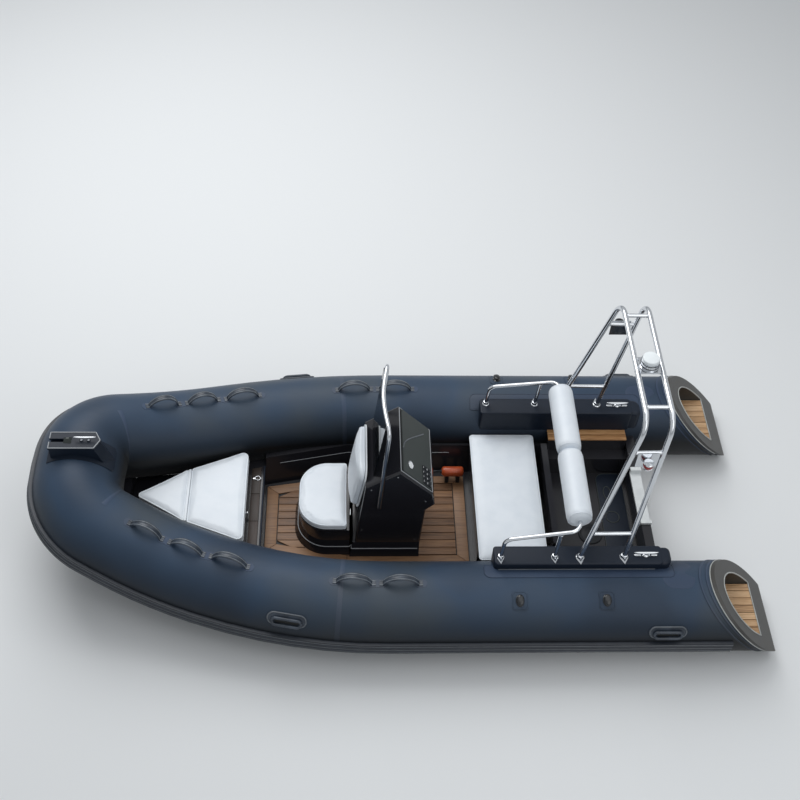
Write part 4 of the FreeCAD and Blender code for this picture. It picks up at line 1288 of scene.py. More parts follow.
    def build_strake(self) -> None:
        """The extruded rub strake: three rounded ribs on a flat band."""
        span = self.strake_half / self.radius
        count = 48
        profile = []
        for i in range(count + 1):
            share = -1.0 + 2.0 * i / count
            wave = math.cos(share * 3.0 * math.pi)
            rib = self.strake_rib * max(0.0, -wave) ** 0.7 if abs(share) < 0.999 else 0.0
            edge = min(1.0, (1.0 - abs(share)) / 0.08)
            profile.append((self.radius + 0.001 + (self.strake_thick + rib) * edge, share * span))
        start = self.mark_at(self.strake_end_x)
        total = self.marks[-1]
        marks = [start + 0.004] + [m for m in self.marks if start + 0.02 < m < total - start - 0.02]
        marks.append(total - start - 0.004)
        rings = []
        for mark in marks:
            place = self.station(mark)
            ring = [place.around(r, a) for r, a in profile]
            ring += [place.around(self.radius - 0.002, a) for _, a in reversed(profile[::12])]
            rings.append(ring)
        bm = bmesh.new()
        add_skin(bm, rings)
        finished("rub_strake_ribs", bm, STRAKE_RUBBER, "strake_rubber", 50.0, "rub_strake")
        # Pale cords on the ribs' tops paint their highlight.
        crests = bmesh.new()
        top = self.radius + self.strake_thick + self.strake_rib - 0.0022
        for share in (-2.0 / 3.0, 0.0, 2.0 / 3.0):
            spine = [self.station(mark).around(top, share * span) for mark in marks]
            add_cord(crests, spine, 0.0022, 6)
        finished("rub_strake_crests", crests, CREST_HIGHLIGHT_RUBBER, "strake_rubber", 50.0)


# Teak


@dataclass
class Teak:
    """Every caulked teak surface: the floor, the stern shelves, the end steps and the tread."""

    gap: float = 0.005
    thick: float = 0.01
    bevel: float = 0.0012
    floor_z: float = 0.0683
    floor_aft: float = -0.506
    floor_mid: float = 0.3
    floor_fore: float = 0.846
    floor_half: float = 0.352
    floor_fore_half: float = 0.262
    side_margin: float = 0.059
    end_margin: float = 0.078
    plank: float = 0.0576
    shelf: tuple[float, float, float, float] = (-1.615, -1.075, 0.435, 0.5267)
    shelf_z: float = 0.3753
    step_z: float = 0.1863
    step_fore: float = -1.9903
    step_half: float = 0.1822
    step_planks: int = 7
    tread_z: float = 0.2003

    def build(self, collar: Collar) -> None:
        """Builds the planks.

        Args:
            collar: The collar, for the slope of the tubes' ends.
        """
        self.build_floor()
        self.build_shelves()
        self.build_steps(collar)
        self.build_tread()

    def add_plank(
        self, bm: BMesh, outline: Ring, z: float, tone: float, bevel: float | None = None
    ) -> list[bmesh.types.BMFace]:
        """Adds one plank with its own tone.

        Args:
            bm: The bmesh to add to, with a face layer for the tone.
            outline: Its counterclockwise plan.
            z: Height of its underside.
            tone: Its tone, of which only the fraction counts.
            bevel: Radius of its upper edge, or None for the usual one.

        Returns:
            Its faces.
        """
        layer = bm.faces.layers.float["plank"]
        faces = add_slab(bm, outline, z, z + self.thick, bevel or self.bevel, 2)
        for face in faces:
            face[layer] = tone % 1.0
        return faces

    def new(self) -> BMesh:
        """A bmesh with the face layer for a plank's tone.

        Returns:
            The bmesh.
        """
        bm = bmesh.new()
        bm.faces.layers.float.new("plank")
        return bm

    def floor_plan(self, side: float, end: float) -> Ring:
        """The floor's plan, drawn in at its sides and ends.

        Args:
            side: Distance at its sides.
            end: Distance at its ends.

        Returns:
            The plan.
        """
        wide, fore = self.floor_half - side, self.floor_fore_half - side
        x0, x1, xm = self.floor_aft + end, self.floor_fore - end, self.floor_mid
        return flat([(x0, -wide), (xm, -wide), (x1, -fore), (x1, fore), (xm, wide), (x0, wide)])

    def half_at(self, x: float, side: float) -> float:
        """Half the floor's breadth at x, drawn in at the side."""
        share = max(0.0, (x - self.floor_mid) / (self.floor_fore - self.floor_mid))
        return self.floor_half - side - share * (self.floor_half - self.floor_fore_half)

    def build_floor(self) -> None:
        """Mitred margin boards round lengthwise planks."""
        bm = self.new()
        outer = self.floor_plan(0.0, 0.0)
        inner = self.floor_plan(self.side_margin, self.end_margin)
        count = len(outer)
        for i in range(count):
            j = (i + 1) % count
            board = inwards([outer[i], outer[j], inner[j], inner[i]], 0.0012)
            self.add_plank(bm, board, self.floor_z, 0.93 + 0.07 * math.sin(3.0 * i))
        side, end = self.side_margin + self.gap, self.end_margin + self.gap
        x0, x1 = self.floor_aft + end, self.floor_fore - end
        top = self.floor_half - side
        number = 10
        for k in range(number):
            y0 = -top + 2.0 * top * k / number + self.gap / 2.0
            y1 = -top + 2.0 * top * (k + 1) / number - self.gap / 2.0
            ends = []
            for y in (y0, y1):
                reach = x1
                if abs(y) > self.half_at(x1, side):
                    share = (self.floor_half - side - abs(y)) / (self.floor_half - self.floor_fore_half)
                    reach = self.floor_mid + share * (self.floor_fore - self.floor_mid)
                ends.append(min(x1, reach))
            plan = flat([(x0, y0), (ends[0], y0), (ends[1], y1), (x0, y1)])
            self.add_plank(bm, plan, self.floor_z, 0.618 * k)
        self.finish(bm, "floor_teak", "floor_planks")

    def finish(self, bm: BMesh, name: str, node: str, wood: Finish | None = None) -> None:
        """Turns planks into a piece that stands for a CAD node."""
        finished(name, bm, wood or TEAK, "teak", 30.0, node)

    def build_shelves(self) -> None:
        """Two planks on each raised shelf beside the well."""
        bm = self.new()
        x0, x1, y0, y1 = self.shelf
        pitch = (y1 - y0) / 2.0
        for side in SIDES:
            for k in range(2):
                a, b = y0 + k * pitch + self.gap / 2.0, y0 + (k + 1) * pitch - self.gap / 2.0
                low, high = (a, b) if side > 0.0 else (-b, -a)
                plan = flat(oblong(x0, x1, low, high))
                self.add_plank(bm, plan, self.shelf_z, 0.55 + 0.3 * k)
        self.finish(bm, "shelf_teak", "ledge_planks", SHELF_TEAK)

    def build_steps(self, collar: Collar) -> None:
        """Lengthwise planks on the steps in the tubes' ends, cut along the ends' slope.

        Args:
            collar: The collar, for the slope.
        """
        bm = self.new()
        pitch = 2.0 * self.step_half / self.step_planks
        for side in SIDES:
            for k in range(self.step_planks):
                middle = side * collar.half
                a = middle - self.step_half + k * pitch + self.gap / 2.0
                b = a + pitch - self.gap
                x0 = collar.end_x(self.step_z, 0.002)
                plan = flat(oblong(x0, self.step_fore, a, b))
                faces = self.add_plank(bm, plan, self.step_z, 0.618 * k + 0.3)
                for vert in {v for face in faces for v in face.verts}:
                    if vert.co.x < x0 + 0.01:
                        vert.co.x = vert.co.x - x0 + collar.end_x(vert.co.z, 0.002)
        # The steps' teak is painted lighter to offset the shade in the tubes' ends.
        self.finish(bm, "end_step_teak", "tube_end_planks", END_TEAK)

    def build_tread(self) -> None:
        """The tread on the foredeck's edge, in three boards side by side, its teak painted dark as shade.
        """
        bm = self.new()
        for k, (y0, y1) in enumerate(((-0.33, -0.111), (-0.109, 0.109), (0.111, 0.33))):
            plan = flat([(0.884, y0), (0.946, max(y0, -0.318)), (0.946, min(y1, 0.318)), (0.884, y1)])
            self.add_plank(bm, plan, self.tread_z, 0.4 * k, 0.002)
        self.finish(bm, "bow_tread", "bow_step", TREAD_TEAK)


# Handles, knobs and other pieces on the tubes


@dataclass
class TubeFittings:
    """The pieces that are glued to the tubes."""

    collar: Collar
    straps: tuple[tuple[float, float], ...] = (
        (1.585, 88.0), (1.313, 88.0), (1.035, 89.0), (0.261, 90.0), (-0.027, 90.0)
    )
    strap_half: float = 0.107
    strap_rise: float = 0.074
    strap_width: float = 0.036
    strap_thick: float = 0.006
    strap_foot: float = 0.026
    carries: tuple[tuple[float, float], ...] = ((0.632, 34.0), (-1.646, 26.0))
    carry_long: float = 0.236
    carry_wide: float = 0.088
    knobs: tuple[tuple[float, float], ...] = ((-0.742, 67.0), (-1.27, 67.0))
    knob_patch: tuple[float, float] = (0.1, 0.118)
    knob_scale: float = 1.22

    def build(self) -> None:
        """Builds straps, carry handles and knobs."""
        self.build_straps()
        self.build_carries()
        self.build_knobs()

    def strap_path(self) -> list[tuple[float, float, float]]:
        """Length, height and slope angle at points of a strap, from foot to foot.

        Returns:
            Length, height and slope for each point.
        """
        half, rise = self.strap_half, self.strap_rise
        radius = (half * half + rise * rise) / (2.0 * rise)
        reach = math.asin(half / radius)
        path = []
        for k in range(5):
            path.append((-half - self.strap_foot * (1.0 - k / 5.0), 0.003, 0.0))
        count = 28
        for k in range(count + 1):
            angle = -reach + 2.0 * reach * k / count
            height = radius * math.cos(angle) - (radius - rise)
            path.append((radius * math.sin(angle), height + 0.003, -angle))
        for k in range(5):
            path.append((half + self.strap_foot * (k + 1) / 5.0, 0.003, 0.0))
        return path

    def build_straps(self) -> None:
        """The arched grab straps with two ribs along their backs, and pale cords on the ribs as a painted
        highlight.
        """
        bm = bmesh.new()
        w, t = self.strap_width / 2.0, self.strap_thick
        section = [(-1.0, 0.0), (-1.0, 0.55), (-0.9, 0.85), (-0.72, 1.0), (-0.52, 1.0)]
        section += [(-0.42, 0.72), (0.42, 0.72), (0.52, 1.0), (0.72, 1.0), (0.9, 0.85)]
        section += [(1.0, 0.55), (1.0, 0.0)]
        edges = bmesh.new()
        for x, degrees in self.straps:
            mark = self.collar.mark_at(x)
            crests: tuple[Ring, Ring] = ([], [])
            rings = []
            for u, height, tilt in self.strap_path():
                narrow = 1.0 if abs(u) < self.strap_half else 1.15
                ring = []
                for v, n in section:
                    offset = (u - math.sin(tilt) * n * t, v * w * narrow)
                    lift = height - 0.003 + math.cos(tilt) * n * t
                    ring.append(self.collar.spot(mark, degrees, offset, lift))
                rings.append(ring)
                for side, crest in zip((-0.62, 0.62), crests):
                    offset = (u - math.sin(tilt) * t, side * w * narrow)
                    lift = height - 0.0035 + math.cos(tilt) * t
                    crest.append(self.collar.spot(mark, degrees, offset, lift))
            add_skin(bm, rings)
            for crest in crests:
                add_cord(edges, crest, 0.0017, 6)
        mirror_port(bm)
        finished("grab_straps", bm, STRAP_RUBBER, "end_moulding", 35.0, "grab_handles")
        # The pale cords in edges paint the highlight along the straps' ribs.
        mirror_port(edges)
        finished("strap_crests", edges, STRAP_HIGHLIGHT_RUBBER, "end_moulding", 60.0)
        feet = bmesh.new()
        for x, degrees in self.straps:
            mark = self.collar.mark_at(x)
            for side in (-1.0, 1.0):
                at = mark + side * (self.strap_half + 0.016)
                self.collar.patch(feet, at, degrees, stadium(0.074, 0.058, 28), 0.0016, 2)
        mirror_port(feet)
        finished("strap_patches", feet, TAPE_FABRIC, "tube_fabric", 30.0)

    def build_carries(self) -> None:
        """The carry handles: a base with a raised rim, a dark patch painted as the shade under the grip,
        and a thick grip.
        """
        base, well, grip, rims = bmesh.new(), bmesh.new(), bmesh.new(), bmesh.new()
        long, wide = self.carry_long, self.carry_wide
        for x, degrees in self.carries:
            mark = self.collar.mark_at(x)
            self.collar.patch(base, mark, degrees, stadium(long, wide, 56), 0.005, 4)
            rim = stadium(long - 0.012, wide - 0.012, 56)
            add_loop(rims, [self.collar.spot(mark, degrees, p, 0.0045) for p in rim], 0.0042, 10)
            # A near-black patch under the grip: painted shade.
            shade_outline = stadium(long * 0.6, wide * 0.42, 40)
            self.collar.patch(well, mark, degrees - 1.5, shade_outline, 0.0058, 3)
            self.grip(grip, mark, degrees)
        mirror_port(base, rims, well, grip)
        finished("carry_bases", base, STRAP_RUBBER, "end_moulding", 40.0)
        # The rims' pale colour paints their highlight.
        finished("carry_rims", rims, CREST_HIGHLIGHT_RUBBER, "end_moulding", 40.0)
        finished("carry_painted_shade", well, CAULK_AND_SHADE, "end_moulding", 40.0)
        finished("carry_grips", grip, STRAP_RUBBER, "end_moulding", 40.0, "carry_handles")

    def grip(self, bm: BMesh, mark: float, degrees: float) -> None:
        """Adds the grip: a thick ring that stands off the lower half of the base.

        Args:
            bm: The bmesh to add to.
            mark: Length along the route.
            degrees: Angle above the tube's outward side.
        """
        line = []
        reach = self.carry_long / 2.0 - 0.034
        for u, v in stadium(2.0 * reach, 0.042, 48):
            share = abs(u) / reach
            lift = 0.022 - 0.01 * share**3
            line.append(self.collar.spot(mark, degrees, (u, v - 0.013), lift))
        add_loop(bm, line, 0.0095, 12)

    def build_knobs(self) -> None:
        """The lashing knobs: an egg-shaped head on a patch with a raised border."""
        patches, heads = bmesh.new(), bmesh.new()
        long, wide = self.knob_patch
        outline = round_plan(oblong(-long / 2, long / 2, -wide / 2, wide / 2), [0.024] * 4)
        for x, degrees in self.knobs:
            mark = self.collar.mark_at(x)
            self.collar.patch(patches, mark, degrees, outline, 0.003, 4)
            border = [(0.86 * u, 0.86 * v) for u, v in outline]
            line = [self.collar.spot(mark, degrees, p, 0.0022) for p in border]
            add_loop(patches, line, 0.0026, 8)
            self.head(heads, mark, degrees)
        mirror_port(patches, heads)
        finished("knob_patches", patches, TUBE_FABRIC, "end_moulding", 50.0)
        finished("knob_heads", heads, GLOSS_RUBBER, "end_moulding", 50.0, "knobs")

    def head(self, bm: BMesh, mark: float, degrees: float) -> None:
        """Adds one knob: a waisted stem under an egg-shaped head.

        Args:
            bm: The bmesh to add to.
            mark: Length along the route.
            degrees: Angle above the tube's outward side.
        """
        profile = [(0.022, 0.0), (0.0215, 0.004), (0.016, 0.008), (0.0135, 0.012), (0.015, 0.0165)]
        profile += [(0.0185, 0.02), (0.0195, 0.024), (0.0175, 0.0285), (0.0125, 0.0315), (0.0065, 0.0328)]
        profile.append((0.0, 0.033))
        rings = []
        for radius, height in profile:
            egg = circle(max(radius, 1e-5) * self.knob_scale, 28, 1.4)
            rings.append([self.collar.spot(mark, degrees, p, height) for p in egg])
        add_skin(bm, rings)


@dataclass
class TubeEnds:
    """Trim on the moulded tube ends."""

    collar: Collar
    pocket_r: float = 0.194
    pocket_z: float = 0.252
    floor_z: float = 0.1863

    def build(self) -> None:
        """Adds the pale lip along each end's forward edge and round the step's opening, its pale colour a
        painted highlight.
        """
        bm = bmesh.new()
        c = self.collar
        rim = []
        for k in range(73):
            angle = math.radians(-20.0 + 220.0 * k / 72)
            r = c.radius + 0.0035
            y, z = c.half + r * math.cos(angle), c.axis_z + r * math.sin(angle)
            rim.append(Vector((c.end_x(z, 0.0) + c.cap * 1.36, y, z)))
        add_cord(bm, rim, 0.0038)
        opening = []
        low = math.asin((self.floor_z + 0.012 - self.pocket_z) / self.pocket_r)
        for k in range(61):
            angle = low + (math.pi - 2.0 * low) * k / 60
            y = c.half + (self.pocket_r + 0.003) * math.cos(angle)
            z = self.pocket_z + (self.pocket_r + 0.003) * math.sin(angle)
            opening.append(Vector((c.end_x(z, -0.0005), y, z)))
        edge = [Vector((c.end_x(p.z, -0.0005), p.y, p.z)) for p in (opening[-1], opening[0])]
        line = opening + divided(edge, 0.05)[1:-1]
        add_loop(bm, line, 0.0045, 8)
        mirror_port(bm)
        finished("tube_end_lips", bm, LIP_RUBBER, "end_moulding", 50.0)


# Fittings on the deck and the stern


def solid_tree(*nodes: str) -> BVHTree:
    """A search tree of some CAD nodes' surfaces, in the boat's frame.

    Args:
        *nodes: The nodes' names.

    Returns:
        The tree.
    """
    points: list[Vector] = []
    faces: list[list[int]] = []
    for node in nodes:
        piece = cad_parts[node]
        first = len(points)
        points += [piece.matrix_world @ v.co for v in piece.data.vertices]
        faces += [[first + i for i in p.vertices] for p in piece.data.polygons]
    return BVHTree.FromPolygons(points, faces)


def girdle(
    tree: BVHTree,
    centre: tuple[float, float],
    z: float,
    sector: tuple[float, float],
    inside: bool = False,
    rays: int = 120,
) -> Ring:
    """The line at one height where level rays meet a surface.

    Args:
        tree: The surface.
        centre: Where the rays cross in plan.
        z: Their height.
        sector: First and last angle in degrees from straight ahead.
        inside: Whether the rays start at the centre, instead of outside.
        rays: How many there are.

    Returns:
        The points where they meet it.
    """
    line = []
    for k in range(rays + 1):
        angle = math.radians(sector[0] + (sector[1] - sector[0]) * k / rays)
        away = Vector((math.cos(angle), math.sin(angle), 0.0))
        start = Vector((centre[0], centre[1], z))
        spot = tree.ray_cast(start, away) if inside else tree.ray_cast(start + away * 1.6, -away)
        if spot[0] is not None:
            line.append(spot[0])
    return line


def thinned(line: Ring, shortest: float) -> Ring:
    """The line without points that lie closer together than a length.

    Args:
        line: The line.
        shortest: The length.

    Returns:
        The points that stay.
    """
    kept = [line[0]]
    for point in line[1:]:
        if (point - kept[-1]).length >= shortest:
            kept.append(point)
    return kept


@dataclass
class SideBoxes:
    """The raised boxes on the tubes that carry the rails, with their glued flanges."""

    collar: Collar
    aft: float = -1.645
    fore: float = -0.6
    inner: float = 0.527
    outer: float = 0.662
    low: float = 0.3
    top: float = 0.5563
    flange: tuple[float, float] = (-1.715, -0.54)
    flange_wide: float = 0.116
    flange_degrees: float = 110.0

    def build(self) -> None:
        """Builds both boxes, their flanges and the beads along their feet."""
        bm = bmesh.new()
        box = oblong(self.aft, self.fore, self.inner, self.outer)
        outline = flat(round_plan(box, [0.02, 0.02, 0.03, 0.03]))
        add_slab(bm, outline, self.low, self.top, 0.01, 5)
        aft, fore = self.aft - 0.058, self.aft + 0.05
        low, high = self.inner + 0.002, self.outer - 0.003
        tail_plan = flat(round_plan(oblong(aft, fore, low, high), [0.034, 0.002, 0.002, 0.05], 9.0))
        add_slab(bm, tail_plan, self.low + 0.1, self.top - 0.003, 0.028, 7)
        mirror_port(bm)
        finished("side_box_shells", bm, SIDE_ABS, "black_satin", 35.0, "side_boxes")
        self.build_flanges()

    def build_flanges(self) -> None:
        """The fabric flange along each box's foot, with a beaded edge and a doubler aft of it."""
        bm = bmesh.new()
        a, b = (self.collar.mark_at(x) for x in self.flange)
        middle, half = (a + b) / 2.0, (b - a) / 2.0
        wide = self.flange_wide / 2.0
        outline = round_plan(oblong(-half, half, -wide, wide), [0.04, 0.04, 0.012, 0.012], 9.0)
        self.collar.patch(bm, middle, self.flange_degrees, outline, 0.002, 3)
        edge = [self.collar.spot(middle, self.flange_degrees, p, 0.0014) for p in outline]
        add_loop(bm, edge, 0.0026, 8)
        doubler = round_plan(oblong(-0.1, 0.1, -0.12, 0.12), [0.07] * 4, 9.0)
        self.collar.patch(bm, a - 0.015, self.flange_degrees - 4.0, doubler, 0.0009, 3)
        mirror_port(bm)
        finished("side_box_flanges", bm, FLANGE_FABRIC, "tube_fabric", 30.0)
        # Pale beads along the boxes' feet paint the thin highlight there.
        beads = bmesh.new()
        angle = math.degrees(math.acos((self.outer - self.collar.half) / self.collar.radius))
        foot = [self.collar.skin(a + (b - a) * k / 40, angle - 0.6, 0.003) for k in range(2, 39)]
        foot = [p for p in foot if self.aft + 0.02 < p.x < self.fore - 0.02]
        add_cord(beads, foot, 0.003)
        mirror_port(beads)
        finished("side_box_beads", beads, CREST_HIGHLIGHT_RUBBER, "strake_rubber", 50.0)


@dataclass
class DeckHardware:
    """Cleats and the bow block."""

    deck: float = 0.5563
    cleat_x: float = -1.54
    cleat_y: float = 0.598
    cleat_long: float = 0.15
    cleat_high: float = 0.038
    bow_x: float = 1.9
    bow_top: float = 0.9303
    bow_long: float = 0.136

    def build(self) -> None:
        """Builds the three cleats and the bow block."""
        bm = bmesh.new()
        self.add_cleat(bm, Vector((self.cleat_x, self.cleat_y, self.deck)), self.cleat_long, 0.014)
        mirror_port(bm)
        self.add_bow_cleat(bm)
        finished("cleat_castings", bm, STEEL, "stainless", 50.0, "cleats")
        self.build_block()

    def add_cleat(self, bm: BMesh, at: Vector, long: float, wide: float) -> None:
        """Adds a cleat: an oval base with a round hub, and a curved horn on two posts.

        Args:
            bm: The bmesh to add to.
            at: The middle of its foot.
            long: Its length.
            wide: Width of its base.
        """
        base = [at + Vector((u, v, 0.0)) for u, v in stadium(long * 0.96, wide, 40)]
        add_slab(bm, base, at.z, at.z + 0.005, 0.002, 2)
        hub = [(0.019, 0.0), (0.019, 0.006), (0.015, 0.01), (0.006, 0.0115), (0.0, 0.0115)]
        lathe(bm, hub, at, UP, 28)
        for side in (-1.0, 1.0):
            post = [(0.009, 0.0), (0.0065, 0.006), (0.0055, 0.018), (0.007, self.cleat_high - 0.009)]
            lathe(bm, post, at + FORWARD * side * long * 0.19, UP, 20)
        self.add_horn(bm, at + UP * (self.cleat_high - 0.007), long, 0.007)

    def add_horn(self, bm: BMesh, at: Vector, long: float, thick: float) -> None:
        """Adds a cleat's horn: a bar that thins and rises towards its tips.

        Args:
            bm: The bmesh to add to.
            at: Its middle.
            long: Its length.
            thick: Its radius at the middle.
        """
        rings = []
        count = 28
        for k in range(count + 1):
            share = -1.0 + 2.0 * k / count
            body = math.sqrt(max(0.0, 1.0 - abs(share) ** 5)) * (1.0 - 0.35 * share * share)
            r = max(thick * body, 0.0006)
            centre = at + Vector((share * long / 2.0, 0.0, -0.004 * (1.0 - share * share)))
            rings.append([centre + Vector((0.0, 1.15 * u, v)) for u, v in circle(r, 16)])
        add_skin(bm, rings)

    def add_bow_cleat(self, bm: BMesh) -> None:
        """Adds the slim cleat on the bow block: a flat bar on two ball feet.

        Args:
            bm: The bmesh to add to.
        """
        at = Vector((self.bow_x, 0.0, self.bow_top))
        for side in (-1.0, 1.0):
            foot = [(0.01, 0.0), (0.0115, 0.004), (0.01, 0.01), (0.006, 0.014), (0.0055, 0.029)]
            lathe(bm, foot, at + FORWARD * side * 0.022, UP, 20)
        self.add_horn(bm, at + UP * 0.031, self.bow_long, 0.0058)

    def build_block(self) -> None:
        """The bow block's satin finish, the pale bead round its top that paints its edge highlight, and
        the boss inside the bead.
        """
        dress("bow_block", SIDE_ABS, 0.004)
        bm = bmesh.new()
        half, fore, aft = 0.061, 2.116, 1.808
        rim = [(aft + 0.001, 0.0), (aft + 0.034, -half), (fore, -half), (fore, -0.014)]
        port = [(x, -y) for x, y in reversed(rim[1:])]
        line = flat(rim + port, self.bow_top + 0.0004)
        for a, b in zip(line, line[1:] + line[:1]):
            if abs(a.x - b.x) > 1e-6 or a.y * b.y >= 0.0:
                add_cord(bm, [a, b], 0.0034, 8)
        finished("bow_block_rim", bm, HIGHLIGHT_BEAD, "grey_plastic", 50.0)
        boss = bmesh.new()
        foot = [(1.982, -0.024), (2.03, -0.022), (2.03, 0.022), (1.982, 0.024)]
        peak = [(1.994, -0.006), (2.012, -0.004), (2.012, 0.004), (1.994, 0.006)]
        add_skin(boss, [flat(foot, self.bow_top), flat(peak, self.bow_top + 0.022)])
        finished("bow_block_boss", boss, DASH_ABS, "black_satin", 20.0)


@dataclass
class Lights:
    """The all-round light on the arch and the two side lights."""

    mast_x: float = -1.4185
    mast_y: float = 0.05
    drum_z: float = 1.7026
    drum_r: float = 0.053
    drum_h: float = 0.042
    lens_r: float = 0.049
    lens_h: float = 0.028
    side_x: float = -1.388
    side_y: tuple[float, float] = (0.5152, 0.575)
    side_z: tuple[float, float] = (1.3937, 1.4397)

    def build(self) -> None:
        """Builds the three lights."""
        foot = Vector((self.mast_x, self.mast_y, self.drum_z))
        r, h = self.drum_r, self.drum_h
        bm = bmesh.new()
        drum = [(0.0, 0.0), (r, 0.0), (r, 0.006), (r - 0.003, 0.008), (r - 0.003, 0.018), (r, 0.02)]
        drum += [(r, 0.028), (r - 0.003, 0.03), (r - 0.003, h - 0.004), (r - 0.006, h), (0.0, h)]
        lathe(bm, drum, foot, UP, 48)
        finished("mast_light_drum", bm, STEEL, "stainless", 30.0)
        bm = bmesh.new()
        for z in (0.013, h - 0.007):
            ring = [foot + Vector((u, v, z)) for u, v in circle(r - 0.002, 48)]
            add_loop(bm, ring, 0.0048, 8)
        finished("mast_light_gaskets", bm, BLACK_ABS, "black_satin", 60.0)
        bm = bmesh.new()
        lens = [(0.0, 0.0), (self.lens_r, 0.0), (self.lens_r, self.lens_h * 0.5)]
        for k in range(1, 7):
            angle = math.pi / 2.0 * k / 6
            draw = 0.01 * (1.0 - math.cos(angle))
            lens.append((self.lens_r - draw, self.lens_h * (0.5 + 0.25 * math.sin(angle))))
        lens += [(self.lens_r * 0.5, self.lens_h * 0.84), (0.0, self.lens_h * 0.87)]
        lathe(bm, lens, foot + UP * (h + 0.0003), UP, 48)
        finished("mast_light_lens", bm, OPAL_LENS, "lens", 60.0, "light_lens")
        self.build_side_lights()

    def build_side_lights(self) -> None:
        """A red light to port in a steel case, and a green one to starboard in a dark case."""
        housing = bmesh.new()
        y0, y1 = self.side_y
        z0, z1 = self.side_z
        middle_y, high = (y0 + y1) / 2.0, z1 - z0
        r = (y1 - y0) / 2.0
        case = [(0.0, 0.0), (r, 0.0), (r, 0.009), (r - 0.006, 0.011), (r - 0.006, high - 0.012)]
        case += [(r, high - 0.01), (r, high - 0.003), (r - 0.004, high), (0.0, high)]
        lathe(housing, case, Vector((self.side_x, middle_y, z0)), UP, 40)
        finished("port_light_case", housing, STEEL, "stainless", 30.0, "side_lights")
        housing = bmesh.new()
        lathe(housing, case, Vector((self.side_x, -middle_y, z0)), UP, 40)
        finished("starboard_light_case", housing, BLACK_ABS, "black_satin", 30.0, "side_lights")
        for side, finish, name in ((1.0, RED_LENS, "port_lens"), (-1.0, GREEN_LENS, "starboard_lens")):
            bm = bmesh.new()
            ring = [(r - 0.0055, 0.0), (r - 0.0015, 0.003), (r - 0.0005, (high - 0.021) / 2.0)]
            ring += [(r - 0.0015, high - 0.024), (r - 0.0055, high - 0.021)]
            lathe(bm, ring, Vector((self.side_x, side * middle_y, z0 + 0.0105)), UP, 40)
            finished(name, bm, finish, "lens", 60.0)


